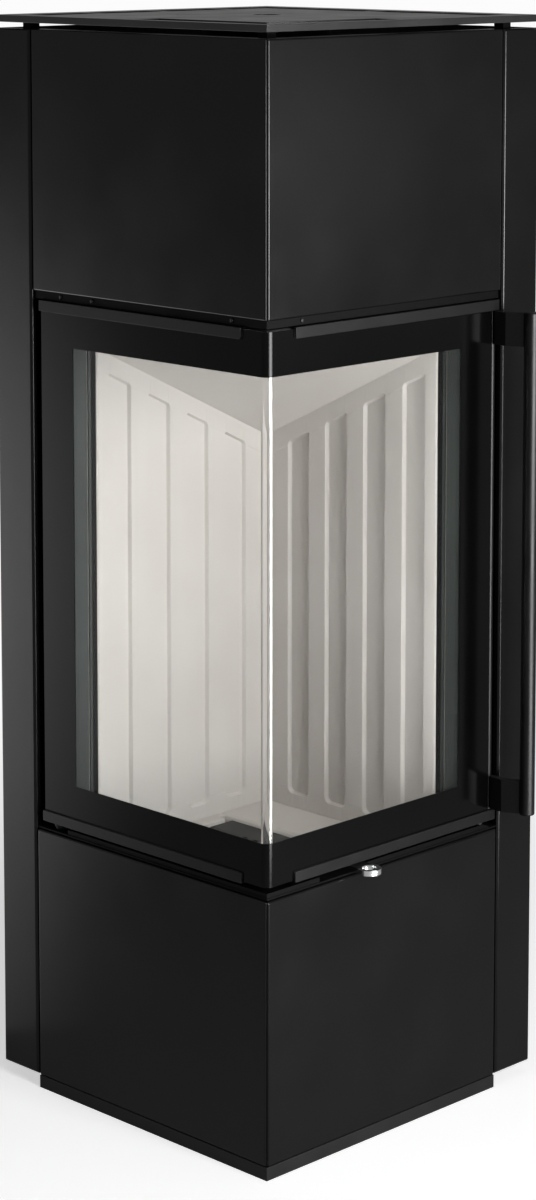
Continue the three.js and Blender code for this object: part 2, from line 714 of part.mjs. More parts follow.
// Round-headed screws, turned about their own axis with the head outwards.
const screwProfile = [
  [0, -LINTEL_SHEET],
  [SCREW_SHANK_RADIUS, -LINTEL_SHEET],
  [SCREW_SHANK_RADIUS, SEAT],
  [SCREW_HEAD_RADIUS, SEAT],
  [SCREW_HEAD_RADIUS * 0.8, SCREW_HEAD_HEIGHT * 0.75],
  [0, SCREW_HEAD_HEIGHT],
];
SCREW_PLACES.forEach(([wing, along], i) => {
  const screw = turned(screwProfile, 12).rotateX(Math.PI / 2).translate(along, LINTEL_DEPTH, SCREW_LEVEL);
  piece(carcass, `lintel_screw_${i + 1}`, onWing(wing, screw), MATERIALS.darkSteel);
});

// ------------------------------------------------------------------------------------------
// Cladding: tiles, side panels and rear sheets
// ------------------------------------------------------------------------------------------

const cladding = assembly();

// A pressed tile: mitred at the glass corner, its face edges bevelled, its back hollow between ribs.
function tile(bottom) {
  const top = bottom + TILE_HEIGHT;
  const mitre = MITRE_JOINT / Math.SQRT2;
  const corners = [
    [0, 2 * TILE_BEVEL + mitre, TILE_SPAN - TILE_BEVEL, TILE_BEVEL],
    [TILE_BEVEL, TILE_BEVEL + mitre, TILE_SPAN, 0],
    [TILE_THICKNESS, TILE_THICKNESS + mitre, TILE_SPAN, 0],
  ].flatMap(([depth, start, end, inset]) => [
    [start, depth, bottom + inset],
    [end, depth, bottom + inset],
    [start, depth, top - inset],
    [end, depth, top - inset],
  ]);
  const first = TILE_THICKNESS + mitre + TILE_RIM;
  const width = (TILE_SPAN - TILE_RIM - first - (TILE_HOLLOWS - 1) * TILE_RIB) / TILE_HOLLOWS;
  const hollows = Array.from({ length: TILE_HOLLOWS }, (_, i) => {
    const start = first + i * (width + TILE_RIB);
    return box(start, start + width, TILE_FACE, TILE_THICKNESS + STEP, bottom + TILE_RIM, top - TILE_RIM);
  });
  return cut(hull(corners), ...hollows);
}

for (const [side, wing] of WINGS) {
  piece(cladding, `lower_tile_${side}`, onWing(wing, tile(TILE_BOTTOM)), MATERIALS.glaze);
  piece(cladding, `upper_tile_${side}`, onWing(wing, tile(UPPER_TILE_BOTTOM)), MATERIALS.glaze);
}

// A side panel: one full-height bevelled plate between the groove and the column's rear edge.
function sidePanel() {
  const start = TILE_SPAN + GROOVE;
  return hull(
    [
      [0, SIDE_PANEL_BEVEL],
      [SIDE_PANEL_BEVEL, 0],
      [SIDE_PANEL_THICKNESS, 0],
    ].flatMap(([depth, inset]) =>
      [start + inset, SIDE - inset].flatMap((along) => [
        [along, depth, TILE_BOTTOM + inset],
        [along, depth, UPPER_TILE_TOP - inset],
      ]),
    ),
  );
}
for (const [side, wing] of WINGS)
  piece(cladding, `side_panel_${side}`, onWing(wing, sidePanel()), MATERIALS.glaze);

// Rear sheets with rows of vents; the back one also takes the outside-air inlet.
function rearSheet(start, end, ...cutters) {
  const middle = (start + end) / 2;
  const vents = VENT_LEVELS.flatMap((level) =>
    Array.from({ length: VENT_COUNT }, (_, i) => {
      const left = middle + (i - (VENT_COUNT - 1) / 2) * VENT_PITCH - VENT_LENGTH / 2;
      return box(left, left + VENT_LENGTH, SIDE - REAR_SHEET - STEP, SIDE + STEP, level, level + VENT_HEIGHT);
    }),
  );
  return cut(box(start, end, SIDE - REAR_SHEET, SIDE, TILE_BOTTOM, UPPER_TILE_TOP), ...vents, ...cutters);
}
const inletHole = cylinder(INLET_DIAMETER / 2 + SEAT, -STEP, REAR_SHEET + STEP, 36)
  .rotateX(Math.PI / 2)
  .translate(HALF, SIDE, INLET_HEIGHT);
const REAR_SHEET_START = SIDE_PANEL_THICKNESS + SEAT;
// The -X sheet is drawn along the right wing, the +Y sheet along the front wing.
piece(cladding, "rear_sheet_left", onWing(RIGHT, rearSheet(REAR_SHEET_START, SIDE)), MATERIALS.lacquer);
piece(
  cladding,
  "rear_sheet_back",
  onWing(FRONT, rearSheet(REAR_SHEET_START, SIDE - REAR_SHEET - SEAT, inletHole)),
  MATERIALS.lacquer,
);

const inletRadius = INLET_DIAMETER / 2;
const inletProfile = [
  [inletRadius - INLET_WALL, 0],
  [inletRadius, 0],
  [inletRadius, REAR_SHEET + SEAT],
  [inletRadius + INLET_FLANGE, REAR_SHEET + SEAT],
  [inletRadius + INLET_FLANGE, REAR_SHEET + SEAT + INLET_WALL],
  [inletRadius, REAR_SHEET + SEAT + INLET_WALL],
  [inletRadius, INLET_LENGTH],
  [inletRadius - INLET_WALL, INLET_LENGTH],
];
const inlet = turned(inletProfile, 36).rotateX(Math.PI / 2);
piece(cladding, "air_inlet", inlet, MATERIALS.darkSteel, [planX(HALF), planY(SIDE), INLET_HEIGHT]);

// ------------------------------------------------------------------------------------------
// Firebox: front frame, shell, lining, baffle, floor, grate and ash pan
// ------------------------------------------------------------------------------------------

const firebox = assembly();

// The same opening in both wings, from the glass corner to its end.
const cornerWindow = (end, z0, z1) => planBox(-STEP, end, -STEP, end, z0, z1);

const FRAME_RIGHT_END = DOOR_RIGHT_END + FRONT_FRAME_RIGHT_REACH;
piece(
  firebox,
  "front_frame",
  cut(
    prism(
      cornerBand(FRAME_FRONT, FRAME_BACK, FRONT_FRAME_LEFT_END, FRAME_RIGHT_END, 0),
      LOWER_DECK_TOP + SEAT,
      UPPER_DECK - SEAT,
    ),
    cornerWindow(FIREBOX_OPENING_END, SILL_TOP, HEAD_BOTTOM),
  ),
  MATERIALS.darkSteel,
);

// The welded shell: a box with an ash well below, open at the glass corner, with the flue hole in its crown
// and lugs along its rear walls that hang it on the lower deck.
const LUG_ROOM = 60; // lugs stop this far short of the shell's corners
const lug = (front0, front1, right0, right1) =>
  planBox(front0, front1, right0, right1, LOWER_DECK_TOP + SEAT, LOWER_DECK_TOP + SEAT + SHELL_LUG_HEIGHT);
const WELL_FRONT_END = WELL_START + WELL_LENGTH;
const WELL_RIGHT_END = WELL_START + WELL_WIDTH;
const WELL_BOTTOM = CHAMBER_FLOOR - WELL_DEPTH;
piece(
  firebox,
  "firebox_shell",
  cut(
    join(
      planBox(SHELL_FRONT, SHELL_BACK, SHELL_FRONT, SHELL_BACK, SHELL_BOTTOM, SHELL_TOP),
      planBox(
        WELL_START - SHELL_WALL,
        WELL_FRONT_END + SHELL_WALL,
        WELL_START - SHELL_WALL,
        WELL_RIGHT_END + SHELL_WALL,
        WELL_BOTTOM - SHELL_WALL,
        SHELL_BOTTOM + STEP,
      ),
      lug(SHELL_BACK - STEP, SHELL_BACK + SHELL_LUG_DEPTH, SHELL_FRONT + LUG_ROOM, SHELL_BACK - LUG_ROOM),
      lug(SHELL_FRONT + LUG_ROOM, SHELL_BACK - LUG_ROOM, SHELL_BACK - STEP, SHELL_BACK + SHELL_LUG_DEPTH),
    ),
    planBox(CHAMBER_FRONT, CHAMBER_BACK, CHAMBER_FRONT, CHAMBER_BACK, CHAMBER_FLOOR, SHELL_TOP - SHELL_WALL),
    planBox(WELL_START, WELL_FRONT_END, WELL_START, WELL_RIGHT_END, WELL_BOTTOM, CHAMBER_FLOOR + STEP),
    cornerWindow(FIREBOX_OPENING_END, SILL_TOP, HEAD_BOTTOM),
    cylinder(FLUE_DIAMETER / 2, SHELL_TOP - SHELL_WALL - STEP, SHELL_TOP + STEP, 36),
  ),
  MATERIALS.darkSteel,
);

// The baffle's underside: a plane that rises from the back corner towards both faces.
const baffleHeight = (front, right) =>
  FIRE_FLOOR + BAFFLE_BACK_HEIGHT + BAFFLE_SLOPE * (LINER_FACE - front + LINER_FACE - right);

// A plan prism sheared so that its ends lie parallel to the baffle, at offsets from its underside.
function slantedPrism(points, offset0, offset1) {
  const shear = new THREE.Matrix4().makeBasis(
    new THREE.Vector3(1, 0, BAFFLE_SLOPE),
    new THREE.Vector3(0, 1, -BAFFLE_SLOPE),
    new THREE.Vector3(0, 0, 1),
  );
  shear.setPosition(0, 0, baffleHeight(HALF, HALF));
  return planPrism(points, offset0, offset1).applyMatrix4(shear);
}

piece(
  firebox,
  "baffle",
  slantedPrism(
    [
      [LINER_BACK, LINER_BACK],
      [LINER_BACK, LINER_FRONT],
      [BAFFLE_FRONT_SPAN - LINER_FRONT, LINER_FRONT],
      [LINER_FRONT, BAFFLE_FRONT_SPAN - LINER_FRONT],
      [LINER_FRONT, LINER_BACK],
    ],
    0,
    BAFFLE_THICKNESS,
  ),
  MATERIALS.fireclay,
);

// A lining panel: upright bevelled channels pressed into its face, its head cut to the baffle's slope.
// Points are placed by how far along the wall, how far into it and how high they are.
function lining(wallPoint, alongEnd) {
  const panel = hull(
    [LINER_FRONT, alongEnd].flatMap((along) =>
      [0, LINER_THICKNESS].flatMap((into) => [
        wallPoint(along, into, CHAMBER_FLOOR + SEAT),
        wallPoint(along, into, HEAD_BOTTOM + FRONT_FRAME_HEAD),
      ]),
    ),
  );
  const flare = CHANNEL_BEVEL / CHANNEL_DEPTH; // side slope of a channel
  const channels = Array.from({ length: CHANNEL_COUNT }, (_, i) => {
    const start = CHANNEL_FIRST_DISTANCE + i * CHANNEL_PITCH;
    return hull(
      [-STEP, CHANNEL_DEPTH].flatMap((into) =>
        [start + flare * into, start + CHANNEL_WIDTH - flare * into].flatMap((along) => [
          wallPoint(along, into, FIRE_FLOOR + CHANNEL_FOOT + flare * into),
          wallPoint(along, into, baffleHeight(LINER_FACE, along) - CHANNEL_HEAD - flare * into),
        ]),
      ),
    );
  });
  const overBaffle = slantedPrism(
    [
      [0, 0],
      [FAR, 0],
      [FAR, FAR],
      [0, FAR],
    ],
    -SEAT,
    FAR,
  );
  return cut(panel, overBaffle, ...channels);
}
piece(
  firebox,
  "lining_left",
  lining((along, into, z) => [planX(LINER_FACE + into), planY(along), z], LINER_BACK),
  MATERIALS.fireclay,
);
piece(
  firebox,
  "lining_back",
  lining((along, into, z) => [planX(along), planY(LINER_FACE + into), z], LINER_FACE - SEAT),
  MATERIALS.fireclay,
);

// Floor bricks: a broad one along the back lining, its front edge rounded off, and a narrow notched ledge.
const BRICK_BOTTOM = CHAMBER_FLOOR + SEAT;
const LINED = LINER_FACE - SEAT;
piece(
  firebox,
  "floor_brick_back",
  hull(
    [LINER_FRONT, LINED].flatMap((front) => [
      [planX(front), planY(LINED), BRICK_BOTTOM],
      [planX(front), planY(LINED), FIRE_FLOOR],
      [planX(front), planY(BACK_BRICK_START), BRICK_BOTTOM],
      [planX(front), planY(BACK_BRICK_START), FIRE_FLOOR - BRICK_ROUND],
      [planX(front), planY(BACK_BRICK_START + BRICK_ROUND * 0.3), FIRE_FLOOR - BRICK_ROUND * 0.3],
      [planX(front), planY(BACK_BRICK_START + BRICK_ROUND), FIRE_FLOOR],
    ]),
  ),
  MATERIALS.fireclay,
);
const LEDGE_END = BACK_BRICK_START - SEAT;
const LEDGE_START = LINED - LEDGE_WIDTH;
piece(
  firebox,
  "floor_brick_left",
  planPrism(
    [
      [LEDGE_START, LINER_FRONT],
      [LINED, LINER_FRONT],
      [LINED, LEDGE_END],
      [LINED - LEDGE_WIDTH / 2, LEDGE_END],
      [LINED - LEDGE_WIDTH / 2, LEDGE_END - LEDGE_NOTCH + BRICK_ROUND / 2],
      [LINED - LEDGE_WIDTH / 2 - BRICK_ROUND / 2, LEDGE_END - LEDGE_NOTCH],
      [LEDGE_START, LEDGE_END - LEDGE_NOTCH],
    ],
    BRICK_BOTTOM,
    FIRE_FLOOR,
  ),
  MATERIALS.fireclay,
);

// The cast grate fills the rest of the floor and covers the ash well.
const WELL_X = planX(WELL_START + WELL_LENGTH / 2);
const WELL_Y = planY(WELL_START + WELL_WIDTH / 2);
const grateSlots = Array.from({ length: GRATE_BARS }, (_, i) => {
  const radius = GRATE_SLOT_WIDTH / 2;
  const reach = GRATE_SLOT_LENGTH / 2 - radius;
  const slot = new THREE.Shape();
  slot.absarc(0, reach, radius, 0, Math.PI, false);
  slot.absarc(0, -reach, radius, Math.PI, 2 * Math.PI, false);
  slot.closePath();
  const x = WELL_X + (i - (GRATE_BARS - 1) / 2) * GRATE_SLOT_PITCH;
  return prism(slot, -STEP, GRATE_THICKNESS + STEP, 5).translate(x, WELL_Y, 0);
});
piece(
  firebox,
  "grate",
  cut(
    planBox(LINER_FRONT, LEDGE_START - SEAT, LINER_FRONT, BACK_BRICK_START - SEAT, 0, GRATE_THICKNESS),
    ...grateSlots,
  ),
  MATERIALS.castIron,
  [0, 0, BRICK_BOTTOM],
);

// The ash pan stands in the well: a tray with a turned-out rim.
const panHalfX = WELL_LENGTH / 2 - PAN_GAP;
const panHalfY = WELL_WIDTH / 2 - PAN_GAP;
const PAN_RIM = 3;
piece(
  firebox,
  "ash_pan",
  cut(
    join(
      box(-panHalfX, panHalfX, -panHalfY, panHalfY, 0, PAN_HEIGHT),
      box(
        -panHalfX - PAN_RIM,
        panHalfX + PAN_RIM,
        -panHalfY - PAN_RIM,
        panHalfY + PAN_RIM,
        PAN_HEIGHT - PAN_WALL,
        PAN_HEIGHT,
      ),
    ),
    box(
      -panHalfX + PAN_WALL,
      panHalfX - PAN_WALL,
      -panHalfY + PAN_WALL,
      panHalfY - PAN_WALL,
      PAN_WALL,
      PAN_HEIGHT + STEP,
    ),
  ),
  MATERIALS.darkSteel,
  [WELL_X, WELL_Y, WELL_BOTTOM + SEAT],
);

// ------------------------------------------------------------------------------------------
// Flue collar, top plate and flue cover
// ------------------------------------------------------------------------------------------

const top = assembly();
const flueOuter = FLUE_DIAMETER / 2;
const COLLAR_HEIGHT = PLATE_BOTTOM - SHELL_TOP - TOP_GAP;
piece(
  top,
  "flue_collar",
  turned(
    [
      [flueOuter - FLUE_WALL, 0],
      [flueOuter + FLUE_FLANGE, 0],
      [flueOuter + FLUE_FLANGE, SHELL_WALL],
      [flueOuter, SHELL_WALL],
      [flueOuter, COLLAR_HEIGHT],
      [flueOuter - FLUE_WALL, COLLAR_HEIGHT],
    ],
    48,
  ),
  MATERIALS.darkSteel,
  [0, 0, SHELL_TOP + SEAT],
);

// The plate: an L-shaped air slot behind the glass corner, rows of slots along the rear edges,
// and a stepped hole for the cover.
const PLATE_END = SIDE + PLATE_OVERHANG;
const FRONT_SLOT_END = FRONT_SLOT_RIM + FRONT_SLOT_LENGTH;
const FRONT_SLOT_INNER = FRONT_SLOT_RIM + FRONT_SLOT_WIDTH;
const REAR_SLOT_OUTER = PLATE_END - REAR_SLOT_RIM;
const REAR_SLOT_INNER = REAR_SLOT_OUTER - REAR_SLOT_WIDTH;
const LAST_LEFT = REAR_BRIDGES_LEFT.at(-1) + REAR_SLOT_BRIDGE / 2;
const LAST_RIGHT = REAR_BRIDGES_RIGHT.at(-1) + REAR_SLOT_BRIDGE / 2;
const plateSlot = (points) => planPrism(points, -STEP, PLATE_THICKNESS + STEP);
const frontSlot = plateSlot([
  [FRONT_SLOT_RIM, FRONT_SLOT_RIM],
  [FRONT_SLOT_END, FRONT_SLOT_RIM],
  [FRONT_SLOT_END, FRONT_SLOT_INNER],
  [FRONT_SLOT_INNER, FRONT_SLOT_INNER],
  [FRONT_SLOT_INNER, FRONT_SLOT_END],
  [FRONT_SLOT_RIM, FRONT_SLOT_END],
]);
const rearCornerSlot = plateSlot([
  [REAR_SLOT_OUTER, REAR_SLOT_OUTER],
  [REAR_SLOT_OUTER, LAST_LEFT],
  [REAR_SLOT_INNER, LAST_LEFT],
  [REAR_SLOT_INNER, REAR_SLOT_INNER],
  [LAST_RIGHT, REAR_SLOT_INNER],
  [LAST_RIGHT, REAR_SLOT_OUTER],
]);
// The straight slots of an edge, from its free end to its last bridge.
function edgeSlots(bridges, slotAt) {
  const half = REAR_SLOT_BRIDGE / 2;
  return bridges.map((bridge, i) => slotAt(i === 0 ? REAR_SLOT_START : bridges[i - 1] + half, bridge - half));
}
const leftSlots = edgeSlots(REAR_BRIDGES_LEFT, (start, end) =>
  planBox(REAR_SLOT_INNER, REAR_SLOT_OUTER, start, end, -STEP, PLATE_THICKNESS + STEP),
);
const rightSlots = edgeSlots(REAR_BRIDGES_RIGHT, (start, end) =>
  planBox(start, end, REAR_SLOT_INNER, REAR_SLOT_OUTER, -STEP, PLATE_THICKNESS + STEP),
);
piece(
  top,
  "top_plate",
  cut(
    planBox(-PLATE_OVERHANG, PLATE_END, -PLATE_OVERHANG, PLATE_END, 0, PLATE_THICKNESS),
    frontSlot,
    rearCornerSlot,
    ...leftSlots,
    ...rightSlots,
    cylinder(COVER_RADIUS + SEAT - COVER_LEDGE, -STEP, PLATE_THICKNESS + STEP, 48),
    cylinder(COVER_RADIUS + SEAT, PLATE_THICKNESS - COVER_LEDGE_DEPTH, PLATE_THICKNESS + STEP, 48),
  ),
  MATERIALS.plate,
  [0, 0, PLATE_BOTTOM],
);

const finger = COVER_FINGER_HOLE / 2;
const plug = COVER_RADIUS - COVER_LEDGE;
const COVER_STEP = PLATE_THICKNESS - COVER_LEDGE_DEPTH;
piece(
  top,
  "flue_cover",
  turned(
    [
      [finger, 0],
      [plug, 0],
      [plug, COVER_STEP],
      [COVER_RADIUS, COVER_STEP],
      [COVER_RADIUS, PLATE_THICKNESS - SEAT],
      [finger, PLATE_THICKNESS - SEAT],
    ],
    48,
  ),
  MATERIALS.plate,
  [0, 0, PLATE_BOTTOM + SEAT],
);

// ------------------------------------------------------------------------------------------
// Air control: lever, valve and duct under the right wing of the door
// ------------------------------------------------------------------------------------------

const air = assembly();

// The lever is a flat tongue that runs tangent into a ring, with a tab bent down at its inner end.
const LEVER_BOTTOM = LOWER_DECK_TOP + SEAT;
const LEVER_INNER = TAB_DEPTH + LEVER_TAB_THICKNESS;
const leverOutline = new THREE.Shape();
leverOutline.moveTo(-LEVER_ROOT_WIDTH / 2, LEVER_INNER);
leverOutline.lineTo(-LEVER_ROOT_WIDTH / 2, 0);
leverOutline.lineTo(-LEVER_RING_RADIUS, -LEVER_OUT);
leverOutline.absarc(0, -LEVER_OUT, LEVER_RING_RADIUS, Math.PI, 2 * Math.PI, false);
leverOutline.lineTo(LEVER_ROOT_WIDTH / 2, 0);
leverOutline.lineTo(LEVER_ROOT_WIDTH / 2, LEVER_INNER);
leverOutline.closePath();
const leverEye = new THREE.Path();
leverEye.absarc(0, -LEVER_OUT, LEVER_EYE_RADIUS, 0, 2 * Math.PI, true);
leverOutline.holes.push(leverEye);
const VALVE_TOP = LOWER_DECK - VALVE_CLEARANCE;
const VALVE_BOTTOM = VALVE_TOP - VALVE_HEIGHT;
const lever = join(
  prism(leverOutline, LEVER_BOTTOM, LEVER_BOTTOM + LEVER_THICKNESS, 16),
  box(-LEVER_TAB_WIDTH / 2, LEVER_TAB_WIDTH / 2, TAB_DEPTH, LEVER_INNER, VALVE_BOTTOM, LEVER_BOTTOM + STEP),
);
piece(air, "air_lever", onWing(RIGHT, lever.translate(LEVER_ALONG, 0, 0)), MATERIALS.steel);

// The valve hangs on the tab and slides its ports past those of the duct.
function portedSheet(before, after, z0, z1, depth0, depth1) {
  const middle = (VALVE_BOTTOM + VALVE_TOP) / 2;
  const ports = Array.from({ length: AIR_PORTS }, (_, i) => {
    const left = (i - (AIR_PORTS - 1) / 2) * AIR_PORT_PITCH - AIR_PORT_LENGTH / 2;
    return box(
      left,
      left + AIR_PORT_LENGTH,
      depth0 - STEP,
      depth1 + STEP,
      middle - AIR_PORT_HEIGHT / 2,
      middle + AIR_PORT_HEIGHT / 2,
    );
  });
  return cut(box(-before, after, depth0, depth1, z0, z1), ...ports);
}
const VALVE_FRONT = LEVER_INNER + SEAT;
const VALVE_BACK = VALVE_FRONT + VALVE_THICKNESS;
const valve = portedSheet(VALVE_BEFORE, VALVE_AFTER, VALVE_BOTTOM, VALVE_TOP, VALVE_FRONT, VALVE_BACK);
piece(air, "air_valve", onWing(RIGHT, valve.translate(LEVER_ALONG, 0, 0)), MATERIALS.darkSteel);

// The duct is a channel, open towards the firebox, that hangs under the lower deck.
const DUCT_FRONT = VALVE_BACK + SEAT;
const DUCT_TOP = LOWER_DECK - SEAT;
const ductFlange = (z) =>
  box(-DUCT_BEFORE, DUCT_AFTER, DUCT_FRONT + DUCT_WALL / 2, SHELL_FRONT - SEAT, z, z + DUCT_WALL);
const duct = join(
  portedSheet(DUCT_BEFORE, DUCT_AFTER, DUCT_TOP - DUCT_HEIGHT, DUCT_TOP, DUCT_FRONT, DUCT_FRONT + DUCT_WALL),
  ductFlange(DUCT_TOP - DUCT_WALL),
  ductFlange(DUCT_TOP - DUCT_HEIGHT),
);
piece(air, "air_duct", onWing(RIGHT, duct.translate(LEVER_ALONG, 0, 0)), MATERIALS.darkSteel);

// ------------------------------------------------------------------------------------------
// Door: frame, bent glass, seals, retaining strips and hinge
// ------------------------------------------------------------------------------------------

const door = assembly();
const GLASS_LEFT = DOOR_LEFT_END - GLASS_END_MARGIN;
const GLASS_RIGHT = DOOR_RIGHT_END - GLASS_RIGHT_MARGIN;
const STILE_RIGHT = GLASS_RIGHT - GLASS_END_MARGIN;
const GLASS_BOTTOM = FRAME_BOTTOM + SEAT;
const GLASS_TOP = FRAME_TOP - SEAT;

// The frame: a band round the corner with the window cut out of both wings. The hinge end's inner edge is
// chamfered, so that it clears the front frame as it swings in, and two blocks carry the latch shaft.
const HINGE_CHAMFER = [
  [HINGE_ALONG + HINGE_PIN_RADIUS, DOOR_BACK],
  [DOOR_LEFT_END, HINGE_DEPTH + SEAT],
];
const frameRadius = Math.max(GLASS_BEND_RADIUS - (DOOR_FRONT - GLASS_FRONT), SEAT);
const frameBand = cornerBand(
  DOOR_FRONT,
  DOOR_BACK,
  DOOR_LEFT_END,
  STILE_RIGHT,
  frameRadius,
  HINGE_CHAMFER.slice(0, 1),
);
const chamferWedge = planPrism(
  [
    HINGE_CHAMFER[0],
    [DOOR_LEFT_END + STEP, DOOR_BACK + STEP],
    [DOOR_LEFT_END + STEP, HINGE_CHAMFER[1][1]],
    HINGE_CHAMFER[1],
  ],
  FRAME_BOTTOM - STEP,
  FRAME_TOP + STEP,
);
const BLOCK_BACK = SHAFT_DEPTH + SHAFT_RADIUS + STRIP_THICKNESS;
const BLOCK_HEIGHT = JOURNAL_LENGTH + SEAT;
function bearingBlock(z0, z1) {
  return onWing(
    RIGHT,
    join(
      box(STILE_RIGHT - BLOCK_HEIGHT, DOOR_RIGHT_END, DOOR_FRONT, BLOCK_BACK, z0, z1),
      box(GLASS_RIGHT + SEAT, DOOR_RIGHT_END, GLASS_FRONT, BLOCK_BACK, z0, z1),
    ),
  );
}
const SHAFT_X = planX(SHAFT_DEPTH);
const SHAFT_Y = planY(SHAFT_ALONG);
const shaftBore = cylinder(JOURNAL_RADIUS + RUNNING, FRAME_BOTTOM - STEP, FRAME_TOP + STEP, 24).translate(
  SHAFT_X,
  SHAFT_Y,
  0,
);
piece(
  door,
  "door_frame",
  cut(
    join(
      cut(
        prism(frameBand, FRAME_BOTTOM, FRAME_TOP),
        cornerWindow(WINDOW_END, WINDOW_BOTTOM, WINDOW_TOP),
        chamferWedge,
      ),
      bearingBlock(FRAME_BOTTOM, FRAME_BOTTOM + BLOCK_HEIGHT),
      bearingBlock(FRAME_TOP - BLOCK_HEIGHT, FRAME_TOP),
    ),
    shaftBore,
    hingeHole(HINGE_PIN_RADIUS + RUNNING, FRAME_BOTTOM - STEP, FRAME_BOTTOM + HINGE_PIN_LENGTH + STEP),
    hingeHole(HINGE_PIN_RADIUS + RUNNING, FRAME_TOP - HINGE_PIN_LENGTH - STEP, FRAME_TOP + STEP),
  ),
  MATERIALS.lacquer,
);

const pane = cornerBand(GLASS_FRONT, GLASS_BACK, GLASS_LEFT, GLASS_RIGHT, GLASS_BEND_RADIUS);
piece(door, "door_glass", prism(pane, GLASS_BOTTOM, GLASS_TOP, 10), MATERIALS.glass);

// Flat tape between glass and frame, all round the window.
const tapeRadius = Math.max(GLASS_BEND_RADIUS - (TAPE_FRONT - GLASS_FRONT), SEAT);
const tapeBand = cornerBand(TAPE_FRONT, TAPE_BACK, STILE_RIGHT, STILE_RIGHT, tapeRadius);
piece(
  door,
  "glass_tape",
  cut(
    prism(tapeBand, GLASS_BOTTOM + STEP, GLASS_TOP - STEP),
    cornerWindow(
      STILE_RIGHT - GLASS_TAPE_WIDTH,
      GLASS_BOTTOM + STEP + GLASS_TAPE_WIDTH,
      GLASS_TOP - STEP - GLASS_TAPE_WIDTH,
    ),
  ),
  MATERIALS.rope,
);

// Sealing rope between the door and the front frame, just outside the frame's opening.
const ROPE_MARGIN = 1.5;
const ropeEnd = FIREBOX_OPENING_END + ROPE_MARGIN + ROPE_WIDTH;
piece(
  door,
  "door_rope",
  cut(
    prism(
      cornerBand(ROPE_FRONT, ROPE_BACK, ropeEnd, ropeEnd, 0),
      SILL_TOP - ROPE_MARGIN - ROPE_WIDTH,
      HEAD_BOTTOM + ROPE_MARGIN + ROPE_WIDTH,
    ),
    cornerWindow(FIREBOX_OPENING_END + ROPE_MARGIN, SILL_TOP - ROPE_MARGIN, HEAD_BOTTOM + ROPE_MARGIN),
  ),
  MATERIALS.rope,
);

// Retaining strips: an angle whose face leg clamps the glass; its free end near the corner is rounded.
function retainingStrip(start, end, isTop) {
  const outer = isTop ? DOOR_TOP : DOOR_BOTTOM;
  const inwards = isTop ? -1 : 1;
  const inner = outer + inwards * STRIP_HEIGHT;
  const face = new THREE.Shape();
  face.moveTo(start, outer);
  face.lineTo(end, outer);
  face.lineTo(end, inner);
  face.lineTo(start + STRIP_END_RADIUS, inner);
  face.quadraticCurveTo(start, inner, start, inner - inwards * STRIP_END_RADIUS);
  face.closePath();
  const flangeEdge = outer + inwards * STRIP_FLANGE;
  return join(
    facePrism(face, 0, STRIP_THICKNESS, 5),
    box(
      start,
      end,
      STRIP_THICKNESS / 2,
      STRIP_FLANGE_DEPTH,
      Math.min(outer, flangeEdge),
      Math.max(outer, flangeEdge),
    ),
  );
}
const stripHoles = [
  hingeHole(HINGE_WASHER_RADIUS + SEAT, DOOR_BOTTOM - STEP, FRAME_BOTTOM),
  hingeHole(HINGE_PIN_RADIUS + RUNNING, FRAME_TOP, DOOR_TOP + STEP),
];
for (const level of ["lower", "upper"]) {
  const isTop = level === "upper";
  const front = onWing(FRONT, retainingStrip(STRIP_START_FRONT, DOOR_LEFT_END, isTop));
  const right = onWing(RIGHT, retainingStrip(STRIP_START_RIGHT, DOOR_RIGHT_END, isTop));
  piece(door, `glass_strip_${level}_front`, cut(front, ...stripHoles), MATERIALS.strip);
  piece(door, `glass_strip_${level}_right`, right, MATERIALS.strip);
}

// Hinge: shouldered pins in the two decks, and a washer that carries the door.
const pinTop = FRAME_BOTTOM + HINGE_PIN_LENGTH;
piece(
  carcass,
  "hinge_pin_lower",
  turned([
    [0, LOWER_DECK + SEAT],
    [HINGE_PIN_RADIUS, LOWER_DECK + SEAT],
    [HINGE_PIN_RADIUS, LOWER_DECK_TOP + SEAT],
    [HINGE_SHOULDER_RADIUS, LOWER_DECK_TOP + SEAT],
    [HINGE_SHOULDER_RADIUS, LOWER_DECK_TOP + SEAT + HINGE_SHOULDER_HEIGHT],
    [HINGE_PIN_RADIUS, LOWER_DECK_TOP + SEAT + HINGE_SHOULDER_HEIGHT],
    [HINGE_PIN_RADIUS, pinTop],
    [0, pinTop],
  ]),
  MATERIALS.darkSteel,
  [HINGE_X, HINGE_Y, 0],
);
const pinFoot = FRAME_TOP - HINGE_PIN_LENGTH;
piece(
  carcass,
  "hinge_pin_upper",
  turned([
    [0, pinFoot],
    [HINGE_PIN_RADIUS, pinFoot],
    [HINGE_PIN_RADIUS, UPPER_DECK - SEAT - HINGE_SHOULDER_HEIGHT],
    [HINGE_SHOULDER_RADIUS, UPPER_DECK - SEAT - HINGE_SHOULDER_HEIGHT],
    [HINGE_SHOULDER_RADIUS, UPPER_DECK - SEAT],
    [HINGE_PIN_RADIUS, UPPER_DECK - SEAT],
    [HINGE_PIN_RADIUS, UPPER_DECK_TOP - SEAT],
    [0, UPPER_DECK_TOP - SEAT],
  ]),
  MATERIALS.darkSteel,
  [HINGE_X, HINGE_Y, 0],
);
const washerBottom = LOWER_DECK_TOP + HINGE_SHOULDER_HEIGHT + 2 * SEAT;
piece(
  carcass,
  "hinge_washer",
  turned([
    [HINGE_PIN_RADIUS + RUNNING, washerBottom],
    [HINGE_WASHER_RADIUS, washerBottom],
    [HINGE_WASHER_RADIUS, FRAME_BOTTOM - SEAT],
    [HINGE_PIN_RADIUS + RUNNING, FRAME_BOTTOM - SEAT],
  ]),
  MATERIALS.darkSteel,
  [HINGE_X, HINGE_Y, 0],
);

